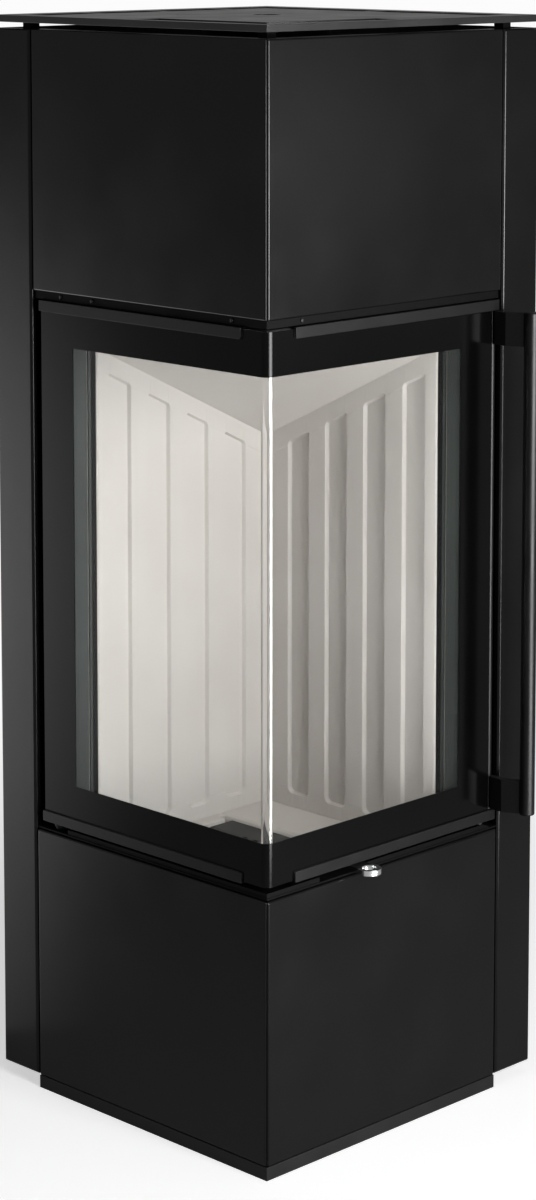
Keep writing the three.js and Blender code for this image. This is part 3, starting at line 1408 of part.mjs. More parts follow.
// A stud on the lower deck that the closed door rests on.
piece(
  carcass,
  "door_rest",
  turned(
    [
      [0, 0],
      [DOOR_REST_RADIUS, 0],
      [DOOR_REST_RADIUS, DOOR_GAP_BELOW - 3 * SEAT - 1],
      [DOOR_REST_RADIUS - 1, DOOR_GAP_BELOW - 3 * SEAT],
      [0, DOOR_GAP_BELOW - 3 * SEAT],
    ],
    16,
  ),
  MATERIALS.steel,
  [planX(DOOR_REST_DEPTH), planY(DOOR_REST_ALONG), LOWER_DECK_TOP + SEAT],
);

// ------------------------------------------------------------------------------------------
// Handle: bar, two bent arms, the latch shaft and its cams, with the strikes on the front frame
// ------------------------------------------------------------------------------------------

const handle = new THREE.Group();
door.add(handle);
handle.position.set(SHAFT_X, SHAFT_Y, 0); // the handle turns about the shaft

// In plan, from the shaft axis: +x out of the door's face, +y away from the glass corner.
const BAR_X = SHAFT_DEPTH + HANDLE_REACH;
const BAR_Y = HANDLE_SWEEP;
const BAR_BOTTOM = DOOR_BOTTOM + HANDLE_END_INSET;
const BAR_TOP = DOOR_TOP - HANDLE_END_INSET + 1;
piece(
  handle,
  "handle_bar",
  turned(
    [
      [0, BAR_BOTTOM],
      [HANDLE_RADIUS - 1, BAR_BOTTOM],
      [HANDLE_RADIUS, BAR_BOTTOM + 1],
      [HANDLE_RADIUS, BAR_TOP - 1],
      [HANDLE_RADIUS - 1, BAR_TOP],
      [0, BAR_TOP],
    ],
    32,
  ),
  MATERIALS.handle,
  [BAR_X, BAR_Y, 0],
);

// An arm: straight out from the shaft past the door's face, then bent towards the bar. Its plan is a strip of
// even width about that bent line, hollowed where it meets the shaft and the bar and relieved beside the glass.
const STUB_END = SHAFT_DEPTH + ARM_STUB;
const bend = Math.atan2(BAR_Y, BAR_X - STUB_END);
const armSide = (side) => {
  const offset = (side * ARM_WIDTH) / 2;
  return [
    [SHAFT_RADIUS / 2, offset],
    [STUB_END - offset * Math.tan(bend / 2), offset],
    [BAR_X - offset * Math.sin(bend), BAR_Y + offset * Math.cos(bend)],
  ];
};
function arm(z0, z1) {
  return cut(
    prism(polygon([...armSide(-1), ...armSide(1).reverse()]), z0, z1),
    cylinder(SHAFT_RADIUS + SEAT, z0 - STEP, z1 + STEP),
    cylinder(HANDLE_RADIUS + SEAT, z0 - STEP, z1 + STEP, 32).translate(BAR_X, BAR_Y, 0),
    box(0, SHAFT_DEPTH, -ARM_WIDTH, -ARM_WIDTH / 4, z0 - STEP, z1 + STEP),
  );
}
piece(handle, "handle_arm_lower", arm(BAR_BOTTOM + STEP, BAR_BOTTOM + ARM_HEIGHT), MATERIALS.handle);
piece(handle, "handle_arm_upper", arm(BAR_TOP - ARM_HEIGHT, BAR_TOP - STEP), MATERIALS.handle);

// The latch shaft turns in the door frame's blocks. Its two cams point into the stove, and each faces a strike
// on the front frame.
const CAM_REACH = FRAME_FRONT - STRIKE_THICKNESS - SEAT - SHAFT_DEPTH - SEAT;
const camPlan = new THREE.Shape();
camPlan.moveTo(-SHAFT_RADIUS / 2, -CAM_WIDTH / 2);
camPlan.absarc(-CAM_REACH + CAM_WIDTH / 2, 0, CAM_WIDTH / 2, -Math.PI / 2, Math.PI / 2, true);
camPlan.lineTo(-SHAFT_RADIUS / 2, CAM_WIDTH / 2);
camPlan.closePath();
const cams = { lower: DOOR_BOTTOM + CAM_LEVEL, upper: DOOR_TOP - CAM_LEVEL };
const shaft = turned([
  [0, FRAME_BOTTOM + SEAT],
  [JOURNAL_RADIUS, FRAME_BOTTOM + SEAT],
  [JOURNAL_RADIUS, FRAME_BOTTOM + BLOCK_HEIGHT + SEAT],
  [SHAFT_RADIUS, FRAME_BOTTOM + BLOCK_HEIGHT + SEAT],
  [SHAFT_RADIUS, FRAME_TOP - BLOCK_HEIGHT - SEAT],
  [JOURNAL_RADIUS, FRAME_TOP - BLOCK_HEIGHT - SEAT],
  [JOURNAL_RADIUS, FRAME_TOP - SEAT],
  [0, FRAME_TOP - SEAT],
]);
const camBlades = Object.values(cams).map((z) =>
  prism(camPlan, z - CAM_THICKNESS / 2, z + CAM_THICKNESS / 2, 8),
);
piece(handle, "latch_shaft", join(shaft, ...camBlades), MATERIALS.handle);

for (const [level, z] of Object.entries(cams)) {
  const strike = box(
    SHAFT_ALONG - STRIKE_WIDTH / 2,
    SHAFT_ALONG + STRIKE_WIDTH / 2,
    FRAME_FRONT - SEAT - STRIKE_THICKNESS,
    FRAME_FRONT - SEAT,
    z - STRIKE_HEIGHT / 2,
    z + STRIKE_HEIGHT / 2,
  );
  piece(carcass, `latch_strike_${level}`, onWing(RIGHT, strike), MATERIALS.steel);
}

export default stove;
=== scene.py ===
# %% [markdown]
# # A tiled wood stove, dressed
# The stove is a tall square column: glossy black panels over a steel carcass, a door with one pane of glass
# bent round the front corner, and a pale fireclay lining behind it. Its solids are loaded as a fixed frame,
# in metres, +Z up, with the glass corner pointing to +X and -Y. The rest of this file gives them their
# looks. What the solids already have right is kept and only finished; what needs a finer surface is drawn
# again in place, and a printed border and thin black lines of painted shadow are added to the door.

# %% Load the stove's solids
import json
import math

import bmesh
import bpy
import numpy as np
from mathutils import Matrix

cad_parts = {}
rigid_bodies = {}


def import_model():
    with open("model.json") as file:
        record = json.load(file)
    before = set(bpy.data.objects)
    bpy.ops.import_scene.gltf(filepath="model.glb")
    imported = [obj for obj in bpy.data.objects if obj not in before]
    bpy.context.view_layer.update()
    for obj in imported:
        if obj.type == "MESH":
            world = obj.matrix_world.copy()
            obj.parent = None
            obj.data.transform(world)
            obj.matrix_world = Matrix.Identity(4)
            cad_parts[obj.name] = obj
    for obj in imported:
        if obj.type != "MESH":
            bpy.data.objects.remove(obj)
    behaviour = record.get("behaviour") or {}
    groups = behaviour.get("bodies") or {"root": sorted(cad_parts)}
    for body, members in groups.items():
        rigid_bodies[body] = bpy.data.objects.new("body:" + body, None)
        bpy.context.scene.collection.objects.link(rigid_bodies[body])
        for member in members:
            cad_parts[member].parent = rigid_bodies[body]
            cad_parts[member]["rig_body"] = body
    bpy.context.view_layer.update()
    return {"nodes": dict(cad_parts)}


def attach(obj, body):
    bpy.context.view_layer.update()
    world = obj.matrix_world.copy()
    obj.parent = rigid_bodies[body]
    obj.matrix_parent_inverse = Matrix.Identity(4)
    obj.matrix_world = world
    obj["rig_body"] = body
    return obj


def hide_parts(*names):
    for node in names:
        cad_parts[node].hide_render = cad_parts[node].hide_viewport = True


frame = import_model()
solids = frame["nodes"]

# %% [markdown]
# Most places below are given as a distance along a wing of the corner and a depth in from its face. Both
# count from the column's front corner, so that a number reads the same on either wing, and what a solid
# already says about its own place is read from its box.

# %% Where the corner and a solid are
HALF = 0.225  # half the side of the column
SIDES = ("front", "right")  # the two wings of the corner
LEVELS = ("lower", "upper")


def box_of(node):
    """Lowest and highest corner of a solid."""
    corners = np.array([corner[:] for corner in solids[node].bound_box])
    return corners.min(0), corners.max(0)


print("glass from", box_of("door_glass")[0].round(4), "to", box_of("door_glass")[1].round(4))

# %% [markdown]
# The stove is seen along the diagonal of its square, from a little above the top plate, through a long
# lens. The upright edges stay almost parallel. A camera that only looks down would make them lean, and one
# that is only shifted would throw the stove out of every other view, so some of each is used.

# %% Set up the camera
CAMERA_DISTANCE = 3.214  # from the glass corner, along the diagonal
CAMERA_HEIGHT = 1.4
CAMERA_TILT = math.radians(6.661)
CAMERA_LENS = 90.75  # in mm
CAMERA_SHIFT = (0.00097, -0.28)

camera_data = bpy.data.cameras.new("camera")
camera_data.lens = CAMERA_LENS
camera_data.shift_x, camera_data.shift_y = CAMERA_SHIFT
camera = bpy.data.objects.new("camera", camera_data)
bpy.context.scene.collection.objects.link(camera)
reach = HALF + CAMERA_DISTANCE / math.sqrt(2)
camera.location = (reach, -reach, CAMERA_HEIGHT)
camera.rotation_euler = (math.pi / 2 - CAMERA_TILT, 0, math.pi / 4)
bpy.context.scene.camera = camera
bpy.context.scene.view_settings.view_transform = "Standard"
print("camera at", [round(v, 3) for v in camera.location])

# %% [markdown]
# ## Shared shader groups
# Real finishes are never even. Four small groups put the unevenness in: slow clouds of tone, a fine grain,
# drawn-out brush marks, and dust that settles on what faces up. Each is built once and placed in a material
# with its own values, so that two finishes can share a habit without sharing its strength.


# %% Helpers that build a group and its nodes
def shader_group(name, inputs, outputs):
    """A node group with named sockets. inputs are (name, kind, default), outputs are (name, kind)."""
    group = bpy.data.node_groups.new(name, "ShaderNodeTree")
    for label, kind, default in inputs:
        socket = group.interface.new_socket(label, in_out="INPUT", socket_type=kind)
        if default is not None:
            socket.default_value = default
    for label, kind in outputs:
        group.interface.new_socket(label, in_out="OUTPUT", socket_type=kind)
    return group, group.nodes.new("NodeGroupInput"), group.nodes.new("NodeGroupOutput")


def calculate(tree, operation, second=None):
    """A Math node of one operation, with a fixed second value where one is given."""
    node = tree.nodes.new("ShaderNodeMath")
    node.operation = operation
    if second is not None:
        node.inputs[1].default_value = second
    return node


def remap(tree, low=0.0, high=1.0, to_low=0.0, to_high=1.0, smooth=False):
    """A Map Range node that takes low..high to to_low..to_high, evenly or in a smooth S."""
    node = tree.nodes.new("ShaderNodeMapRange")
    node.interpolation_type = "SMOOTHSTEP" if smooth else "LINEAR"
    for label, value in (("From Min", low), ("From Max", high), ("To Min", to_low), ("To Max", to_high)):
        node.inputs[label].default_value = value
    return node


VALUE, COLOR, VECTOR = "NodeSocketFloat", "NodeSocketColor", "NodeSocketVector"
NOISE_LOW, NOISE_HIGH = 0.3, 0.7  # most values of a noise texture lie between these
print("helpers: shader_group, calculate, remap")

# %% [markdown]
# Glaze pools, lacquer lies thicker here than there and clay is never one colour. That is a slow noise,
# stretched so that it uses the whole way between two values.

# %% Clouds: a slow change between two values
clouds, entry, leave = shader_group(
    "Clouds",
    [("Vector", VECTOR, None), ("Scale", VALUE, 4.0), ("Low", VALUE, 0.0), ("High", VALUE, 1.0)],
    [("Value", VALUE)],
)
noise = clouds.nodes.new("ShaderNodeTexNoise")
noise.inputs["Detail"].default_value = 3.0
spread = remap(clouds, NOISE_LOW, NOISE_HIGH)
clouds.links.new(entry.outputs["Vector"], noise.inputs["Vector"])
clouds.links.new(entry.outputs["Scale"], noise.inputs["Scale"])
clouds.links.new(noise.outputs["Fac"], spread.inputs["Value"])
clouds.links.new(entry.outputs["Low"], spread.inputs["To Min"])
clouds.links.new(entry.outputs["High"], spread.inputs["To Max"])
clouds.links.new(spread.outputs["Result"], leave.inputs["Value"])
print("group:", clouds.name)

# %% [markdown]
# Sprayed lacquer, pressed clay and cast iron share a skin of fine peaks with small pits in it. A noise
# makes the peaks, and the near surroundings of scattered points make the pits, which are also given out as
# a mask.

# %% Grain: fine pits and peaks, as a height and as a mask
PIT_REACH = 0.35  # how far a pit reaches, as a share of a cell
grain, entry, leave = shader_group(
    "Grain",
    [("Vector", VECTOR, None), ("Scale", VALUE, 400.0), ("Pits", VALUE, 0.5)],
    [("Height", VALUE), ("Mask", VALUE)],
)
fine = grain.nodes.new("ShaderNodeTexNoise")
fine.inputs["Detail"].default_value = 4.0
pits = grain.nodes.new("ShaderNodeTexVoronoi")
pits.feature = "F1"
deep = remap(grain, 0.0, PIT_REACH, 1.0, 0.0)
less = calculate(grain, "MULTIPLY")
mixed = calculate(grain, "SUBTRACT")
for texture in (fine, pits):
    grain.links.new(entry.outputs["Vector"], texture.inputs["Vector"])
    grain.links.new(entry.outputs["Scale"], texture.inputs["Scale"])
grain.links.new(pits.outputs["Distance"], deep.inputs["Value"])
grain.links.new(deep.outputs["Result"], less.inputs[0])
grain.links.new(entry.outputs["Pits"], less.inputs[1])
grain.links.new(fine.outputs["Fac"], mixed.inputs[0])
grain.links.new(less.outputs["Value"], mixed.inputs[1])
grain.links.new(mixed.outputs["Value"], leave.inputs["Height"])
grain.links.new(less.outputs["Value"], leave.inputs["Mask"])
print("group:", grain.name)

# %% [markdown]
# Bright steel is finished on a belt, which leaves marks along one direction. A noise that is squeezed
# across the marks and drawn out along them gives both their height and how rough they make the metal.

# %% Brushing: marks drawn out along one direction
brushing, entry, leave = shader_group(
    "Brushing",
    [
        ("Vector", VECTOR, None),
        ("Stretch", VECTOR, (900.0, 900.0, 20.0)),
        ("Low", VALUE, 0.2),
        ("High", VALUE, 0.4),
    ],
    [("Height", VALUE), ("Roughness", VALUE)],
)
drawn = brushing.nodes.new("ShaderNodeVectorMath")
drawn.operation = "MULTIPLY"
marks = brushing.nodes.new("ShaderNodeTexNoise")
marks.inputs["Scale"].default_value = 1.0
marks.inputs["Detail"].default_value = 2.0
spread = remap(brushing, NOISE_LOW, NOISE_HIGH)
brushing.links.new(entry.outputs["Vector"], drawn.inputs[0])
brushing.links.new(entry.outputs["Stretch"], drawn.inputs[1])
brushing.links.new(drawn.outputs["Vector"], marks.inputs["Vector"])
brushing.links.new(marks.outputs["Fac"], spread.inputs["Value"])
brushing.links.new(entry.outputs["Low"], spread.inputs["To Min"])
brushing.links.new(entry.outputs["High"], spread.inputs["To Max"])
brushing.links.new(marks.outputs["Fac"], leave.inputs["Height"])
brushing.links.new(spread.outputs["Result"], leave.inputs["Roughness"])
print("group:", brushing.name)

# %% [markdown]
# A stove warms the air round it and gathers dust where a face looks up. The normal says how far it does, a
# noise breaks the dust into patches, and the result is only a tint on the finish's own colour.

# %% Dust: what settles on faces that look up
DUST_TONE = (0.42, 0.40, 0.37, 1)
DUSTY_FROM = 0.6  # upward share of the normal at which dust begins to stay
dust, entry, leave = shader_group(
    "Dust",
    [
        ("Color", COLOR, (0.5, 0.5, 0.5, 1)),
        ("Vector", VECTOR, None),
        ("Amount", VALUE, 0.1),
        ("Scale", VALUE, 40.0),
    ],
    [("Color", COLOR)],
)
facing = dust.nodes.new("ShaderNodeNewGeometry")
upright = dust.nodes.new("ShaderNodeSeparateXYZ")
up = remap(dust, DUSTY_FROM)
patches = dust.nodes.new("ShaderNodeTexNoise")
patches.inputs["Detail"].default_value = 5.0
share = calculate(dust, "MULTIPLY")
scaled = calculate(dust, "MULTIPLY")
blend = dust.nodes.new("ShaderNodeMix")
blend.data_type = "RGBA"
blend.inputs["B"].default_value = DUST_TONE
dust.links.new(facing.outputs["Normal"], upright.inputs["Vector"])
dust.links.new(upright.outputs["Z"], up.inputs["Value"])
dust.links.new(entry.outputs["Vector"], patches.inputs["Vector"])
dust.links.new(entry.outputs["Scale"], patches.inputs["Scale"])
dust.links.new(up.outputs["Result"], share.inputs[0])
dust.links.new(patches.outputs["Fac"], share.inputs[1])
dust.links.new(share.outputs["Value"], scaled.inputs[0])
dust.links.new(entry.outputs["Amount"], scaled.inputs[1])
dust.links.new(scaled.outputs["Value"], blend.inputs["Factor"])
dust.links.new(entry.outputs["Color"], blend.inputs["A"])
dust.links.new(blend.outputs["Result"], leave.inputs["Color"])
print("group:", dust.name)

# %% [markdown]
# ## Finishes
# Every finish is one Principled shader, and most have a few of the groups round it. A small helper starts
# the material and another drops a group in, so that each finish below reads as a list of what is particular
# to it: how black, how smooth, what grain, how much dust.


# %% Helpers for the finishes
def tone(level):
    """A grey, or a red-green-blue triple, given as it looks on a screen from 0 to 255, as a linear colour."""
    values = np.array(level if isinstance(level, (tuple, list)) else (level,) * 3) / 255
    linear = np.where(values <= 0.04045, values / 12.92, ((values + 0.055) / 1.055) ** 2.4)
    return (*(float(v) for v in linear), 1.0)


def start_finish(name, roughness, metallic=0.0, specular=0.5):
    """A material with a Principled shader, and the Object coordinates that its patterns follow."""
    material = bpy.data.materials.new(name)
    material.use_nodes = True
    tree = material.node_tree
    shader = tree.nodes["Principled BSDF"]
    shader.inputs["Roughness"].default_value = roughness
    shader.inputs["Metallic"].default_value = metallic
    shader.inputs["Specular IOR Level"].default_value = specular
    place = tree.nodes.new("ShaderNodeTexCoord")
    return material, tree, shader, place.outputs["Object"]


def use(tree, group, place, **values):
    """Places a group in a material, on the given coordinates, with its own values."""
    node = tree.nodes.new("ShaderNodeGroup")
    node.node_tree = group
    tree.links.new(place, node.inputs["Vector"])
    for label, value in values.items():
        node.inputs[label].default_value = value
    return node


def emboss(tree, height, shader, distance):
    """Feeds a height into the shader's normal. distance is the height of one unit, in metres."""
    bump = tree.nodes.new("ShaderNodeBump")
    bump.inputs["Distance"].default_value = distance
    bump.inputs["Strength"].default_value = 1.0
    tree.links.new(height, bump.inputs["Height"])
    tree.links.new(bump.outputs["Normal"], shader.inputs["Normal"])


def clouded(tree, place, scale, dark, light):
    """A colour that drifts between two tones in slow clouds."""
    cloud = use(tree, clouds, place, Scale=scale, Low=0.0, High=1.0)
    mix = tree.nodes.new("ShaderNodeMix")
    mix.data_type = "RGBA"
    mix.inputs["A"].default_value = tone(dark)
    mix.inputs["B"].default_value = tone(light)
    tree.links.new(cloud.outputs["Value"], mix.inputs["Factor"])
    return mix.outputs["Result"]


print("mid grey as a linear colour:", [round(v, 3) for v in tone(128)])

# %% [markdown]
# The panels are pressed ceramic under a thick black glaze. The glaze is smooth but not flat: it pools in
# slow waves, so reflections bend a little.

# %% Black glaze
black_glaze, tree, shader, place = start_finish("black_glaze", 0.2, specular=0.2)
specks = use(tree, dust, place, Amount=0.04, Scale=300.0)
tree.links.new(clouded(tree, place, 5.0, 8, 12), specks.inputs["Color"])
tree.links.new(specks.outputs["Color"], shader.inputs["Base Color"])
gloss = use(tree, clouds, place, Scale=9.0, Low=0.16, High=0.26)
tree.links.new(gloss.outputs["Value"], shader.inputs["Roughness"])
waves = use(tree, clouds, place, Scale=11.0, Low=0.0, High=1.0)
emboss(tree, waves.outputs["Value"], shader, 0.0001)
print("finish:", black_glaze.name)

# %% [markdown]
# Sheet and plate are sprayed with heat-proof lacquer, which dries to a satin skin with a fine orange peel.
# The top plate, the retaining strips, the frame and the handle differ in tone and in how smooth the skin
# is.


# %% Satin lacquers
def lacquer(name, dark, light, roughness, specular=0.4, peel=0.00002, dusty=0.06):
    """Sprayed lacquer: two close tones in slow clouds, a fine peel and a little dust on top."""
    material, tree, shader, place = start_finish(name, roughness, specular=specular)
    film = use(tree, dust, place, Amount=dusty, Scale=120.0)
    tree.links.new(clouded(tree, place, 7.0, dark, light), film.inputs["Color"])
    tree.links.new(film.outputs["Color"], shader.inputs["Base Color"])
    sheen = use(tree, clouds, place, Scale=20.0, Low=roughness - 0.05, High=roughness + 0.05)
    tree.links.new(sheen.outputs["Value"], shader.inputs["Roughness"])
    skin = use(tree, grain, place, Scale=900.0, Pits=0.2)
    emboss(tree, skin.outputs["Height"], shader, peel)
    return material


plate_lacquer = lacquer("plate_lacquer", 22, 27, 0.36, specular=0.4, dusty=0.1)
strip_lacquer = lacquer("strip_lacquer", 8, 11, 0.42, specular=0.14, dusty=0.02)
frame_lacquer = lacquer("frame_lacquer", (44, 48, 46), (52, 56, 54), 0.6, specular=0.12)
handle_lacquer = lacquer("handle_lacquer", 7, 9, 0.38, specular=0.15, peel=0.000006)
sheet_lacquer = lacquer("sheet_lacquer", 14, 18, 0.45, specular=0.2)
carcass_lacquer = lacquer("carcass_lacquer", 4, 7, 0.55, specular=0.04, dusty=0.01)
print("lacquers: plate, strip, frame, handle, sheet, carcass")

# %% [markdown]
# The lining is dry-pressed fireclay: warm off-white, matt, with a sandy skin, slight clouds of colour and a
# few dark grains. Nothing in it mirrors, so it only has a broad, weak sheen.

# %% Fireclay
FRECKLE_TONE, FRECKLE_SHARE = (168, 160, 149), 0.16  # the dark grains, and how much they tint
fireclay, tree, shader, place = start_finish("fireclay", 0.9, specular=0.15)
sand = use(tree, grain, place, Scale=650.0, Pits=0.8)
freckle = tree.nodes.new("ShaderNodeMix")
freckle.data_type = "RGBA"
freckle.inputs["B"].default_value = tone(FRECKLE_TONE)
fade = calculate(tree, "MULTIPLY", FRECKLE_SHARE)
tree.links.new(sand.outputs["Mask"], fade.inputs[0])
tree.links.new(fade.outputs["Value"], freckle.inputs["Factor"])
tree.links.new(clouded(tree, place, 6.0, (198, 192, 187), (206, 201, 197)), freckle.inputs["A"])
tree.links.new(freckle.outputs["Result"], shader.inputs["Base Color"])
emboss(tree, sand.outputs["Height"], shader, 0.00005)
print("finish:", fireclay.name)

# %% [markdown]
# The grate is rough grey iron from a sand mould. The ring lever, the latch's strikes and the levelling feet
# are bright steel, brushed along their length. The seals are knitted glass rope, grey and quite matt.

# %% Iron, steel and rope
cast_iron, tree, shader, place = start_finish("cast_iron", 0.65, metallic=0.35, specular=0.3)
tree.links.new(clouded(tree, place, 14.0, (44, 45, 44), (60, 60, 58)), shader.inputs["Base Color"])
skin = use(tree, grain, place, Scale=420.0, Pits=0.7)
emboss(tree, skin.outputs["Height"], shader, 0.0002)

bright_steel, tree, shader, place = start_finish("bright_steel", 0.2, metallic=1.0)
tree.links.new(clouded(tree, place, 60.0, (205, 206, 208), (222, 222, 222)), shader.inputs["Base Color"])
brush = use(tree, brushing, place, Low=0.12, High=0.26)
tree.links.new(brush.outputs["Roughness"], shader.inputs["Roughness"])
emboss(tree, brush.outputs["Height"], shader, 0.000004)

glass_rope, tree, shader, place = start_finish("glass_rope", 0.95, specular=0.1)
tree.links.new(clouded(tree, place, 80.0, (112, 108, 101), (146, 141, 133)), shader.inputs["Base Color"])
skin = use(tree, grain, place, Scale=1400.0, Pits=0.4)
emboss(tree, skin.outputs["Height"], shader, 0.0003)
print("finishes:", cast_iron.name, bright_steel.name, glass_rope.name)

# %% [markdown]
# The pane is clear glass-ceramic. A ray tracer bends what is seen through it, but its shadow rays would
# stop at it and leave the firebox dark, so lamps are let through by a Light Path mix. The flat wings are
# coated so that they mirror little, which a low index gives; the bend mirrors as bare glass does. Round the
# window the pane is printed black: that border is an opaque enamel, fired on, with a gloss like the
# glaze's.

# %% Glass and its black enamel
GLASS_TINT = (0.97, 0.98, 0.975, 1)  # of what is seen through it
SHADOW_TINT = (0.95, 0.96, 0.955, 1)  # of the light that lamps send through it


def glass(name, index):
    """Clear glass of one refractive index, which lets shadow rays straight through."""
    material, tree, shader, place = start_finish(name, 0.0)
    shader.inputs["Base Color"].default_value = GLASS_TINT
    shader.inputs["Transmission Weight"].default_value = 1.0
    shader.inputs["IOR"].default_value = index
    through = tree.nodes.new("ShaderNodeBsdfTransparent")
    through.inputs["Color"].default_value = SHADOW_TINT
    path = tree.nodes.new("ShaderNodeLightPath")
    choose = tree.nodes.new("ShaderNodeMixShader")
    tree.links.new(path.outputs["Is Shadow Ray"], choose.inputs["Fac"])
    tree.links.new(shader.outputs["BSDF"], choose.inputs[1])
    tree.links.new(through.outputs["BSDF"], choose.inputs[2])
    tree.links.new(choose.outputs["Shader"], tree.nodes["Material Output"].inputs["Surface"])
    return material


clear_glass = glass("clear_glass", 1.15)
bend_glass = glass("bend_glass", 1.47)

black_enamel, tree, shader, place = start_finish("black_enamel", 0.16, specular=0.12)
tree.links.new(clouded(tree, place, 9.0, 4, 7), shader.inputs["Base Color"])
skin = use(tree, grain, place, Scale=700.0, Pits=0.2)
emboss(tree, skin.outputs["Height"], shader, 0.000001)
print("finishes:", clear_glass.name, bend_glass.name, black_enamel.name)

# %% [markdown]
# ## Solids that are kept, with softer edges
# No real edge is perfectly sharp: glaze rounds over it, lacquer builds on it, and a cut sheet is deburred.
# That thin round catches a line of light, which is most of what tells one panel from the next here. The
# solids' shapes are right, so a copy of each is merged, its flat faces are joined up, and a Bevel modifier
# rounds the edges that turn more than an angle, which is thirty degrees for most pieces.

# %% A helper that eases a solid's edges
MERGE_DISTANCE = 1e-5  # points nearer than this are one
FLAT_ANGLE = math.radians(0.5)  # faces that turn less than this lie in one plane


def eased(node, finish, width_mm, segments=2, angle=30):
    """A copy of a solid with its triangles joined up and its sharp edges rounded, which replaces it."""
    shape = bmesh.new()
    shape.from_mesh(solids[node].data)
    bmesh.ops.remove_doubles(shape, verts=shape.verts, dist=MERGE_DISTANCE)
    bmesh.ops.dissolve_limit(shape, angle_limit=FLAT_ANGLE, verts=shape.verts, edges=shape.edges)
    mesh = bpy.data.meshes.new(node + "_eased")
    shape.to_mesh(mesh)
    shape.free()
    mesh.polygons.foreach_set("use_smooth", [True] * len(mesh.polygons))
    mesh.set_sharp_from_angle(angle=math.radians(angle))
    mesh.materials.append(finish)
    piece = bpy.data.objects.new(node + "_eased", mesh)
    bpy.context.scene.collection.objects.link(piece)
    bevel = piece.modifiers.new("eased_edges", "BEVEL")
    bevel.width = width_mm / 1000
    bevel.segments = segments
    bevel.limit_method = "ANGLE"
    bevel.angle_limit = math.radians(angle)
    bevel.harden_normals = True
    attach(piece, solids[node]["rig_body"])
    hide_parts(node)
    return piece


print("helper: eased")

# %% [markdown]
# The tiles and side panels are glazed ceramic. Glaze draws back from an edge and leaves it round, so they
# get a wide bevel in fine steps. The plinth and the rear sheets are folded and cut steel, which keeps a
# crisper edge.

# %% Panels, plinth and rear sheets
for side in SIDES:
    for level in LEVELS:
        eased(f"{level}_tile_{side}", black_glaze, 0.8, 3, 20)
    eased(f"side_panel_{side}", black_glaze, 0.8, 3, 20)
eased("plinth", sheet_lacquer, 0.5)
for node in ("rear_sheet_left", "rear_sheet_back"):
    eased(node, sheet_lacquer, 0.2)

# %% [markdown]
# The top is a laser-cut plate with a loose lid in it. A cut plate is only deburred, so its bevel is narrow,
# and the lid's edge is a little rounder because hands lift it.

# %% Top plate and cover
top = [eased("top_plate", plate_lacquer, 0.3), eased("flue_cover", plate_lacquer, 0.5)]
print("top:", [piece.name for piece in top])

# %% [markdown]
# The door is a welded frame behind the glass, with four pressed strips that hold the pane. The frame is a
# greyer, duller black than the strips, and shows through the pane inside its black border.

# %% Door frame and retaining strips
eased("door_frame", frame_lacquer, 0.5)
for level in LEVELS:
    for side in SIDES:
        eased(f"glass_strip_{level}_{side}", strip_lacquer, 0.4)

# %% [markdown]
# The handle is a round bar on two flat, bent arms, and its edges are well rounded for the hand. The strikes
# that its shaft turns behind are small blocks of bright steel.

# %% Handle and latch
eased("handle_bar", handle_lacquer, 0.8, 3)
for level in LEVELS:
    eased(f"handle_arm_{level}", handle_lacquer, 0.8, 3, 40)
    eased(f"latch_strike_{level}", bright_steel, 0.3)
eased("latch_shaft", handle_lacquer, 0.2)

# %% [markdown]
# Inside, the fireclay slabs come out of a press with broad, soft edges, and the grate out of its mould with
# narrower ones. The steel round them is cut and folded.

# %% Firebox
eased("front_frame", frame_lacquer, 0.4)
eased("lower_deck", carcass_lacquer, 0.2)
eased("lintel", carcass_lacquer, 0.3)
eased("grate", cast_iron, 0.8)
eased("baffle", fireclay, 3, 4)
eased("floor_brick_back", fireclay, 1.5, 2, 20)
eased("floor_brick_left", fireclay, 1.5)

# %% [markdown]
# A few small parts catch the eye in a gap: the bright ring of the air lever, and the dull heads of screws
# and pins.

# %% Ring lever, pins and screws
eased("air_lever", bright_steel, 1.0, 3)
for node in ("door_rest", "hinge_washer", "hinge_pin_lower", "hinge_pin_upper"):
    eased(node, frame_lacquer, 0.3)
for node in sorted(n for n in solids if n.startswith("lintel_screw")):
    eased(node, sheet_lacquer, 0.3)

# %% [markdown]
# What lies behind the cladding is mostly folded sheet whose edges never catch light. Its solids keep their
# own mesh and only get a finish.


# %% Solids that keep their own mesh
def dress(nodes, finish):
    """Gives solids that keep their own mesh a finish."""
    for node in nodes:
        solids[node].data.materials.clear()
        solids[node].data.materials.append(finish)


dress(("firebox_shell", "upper_deck", "base_sheet", "air_duct", "air_valve"), carcass_lacquer)
dress(("ash_pan", "flue_collar", "air_inlet"), carcass_lacquer)
dress(sorted(n for n in solids if n.startswith("post_")), carcass_lacquer)
dress(sorted(n for n in solids if n.startswith("levelling_foot")), bright_steel)
dress(("glass_tape", "door_rope"), glass_rope)

# %% [markdown]
# ## The linings
# Each lined wall is one pressed slab with four upright channels. The press leaves no sharp edge: a
# channel's flank falls in a soft S, its corners are round, and its head is cut to the slope of the baffle.
# That is a height field: one parameter runs along the wall, the other up it, and the depth follows from the
# distance to the nearest edge of a channel. The columns and rows of the grid crowd together where a flank
# falls. The rim and the back close it.


# %% Helpers that make a piece from points
SHARP_ANGLE = math.radians(35)  # an edge that turns more than this stays sharp


def piece_from(name, points, faces, finish, body):
    """A smooth-shaded mesh piece from an array of points (n, 3) and a list or array of faces."""
    mesh = bpy.data.meshes.new(name)
    mesh.from_pydata(points, [], [tuple(face) for face in faces])
    mesh.polygons.foreach_set("use_smooth", [True] * len(mesh.polygons))
    mesh.materials.append(finish)
    piece = bpy.data.objects.new(name, mesh)
    bpy.context.scene.collection.objects.link(piece)
    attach(piece, body)
    return piece


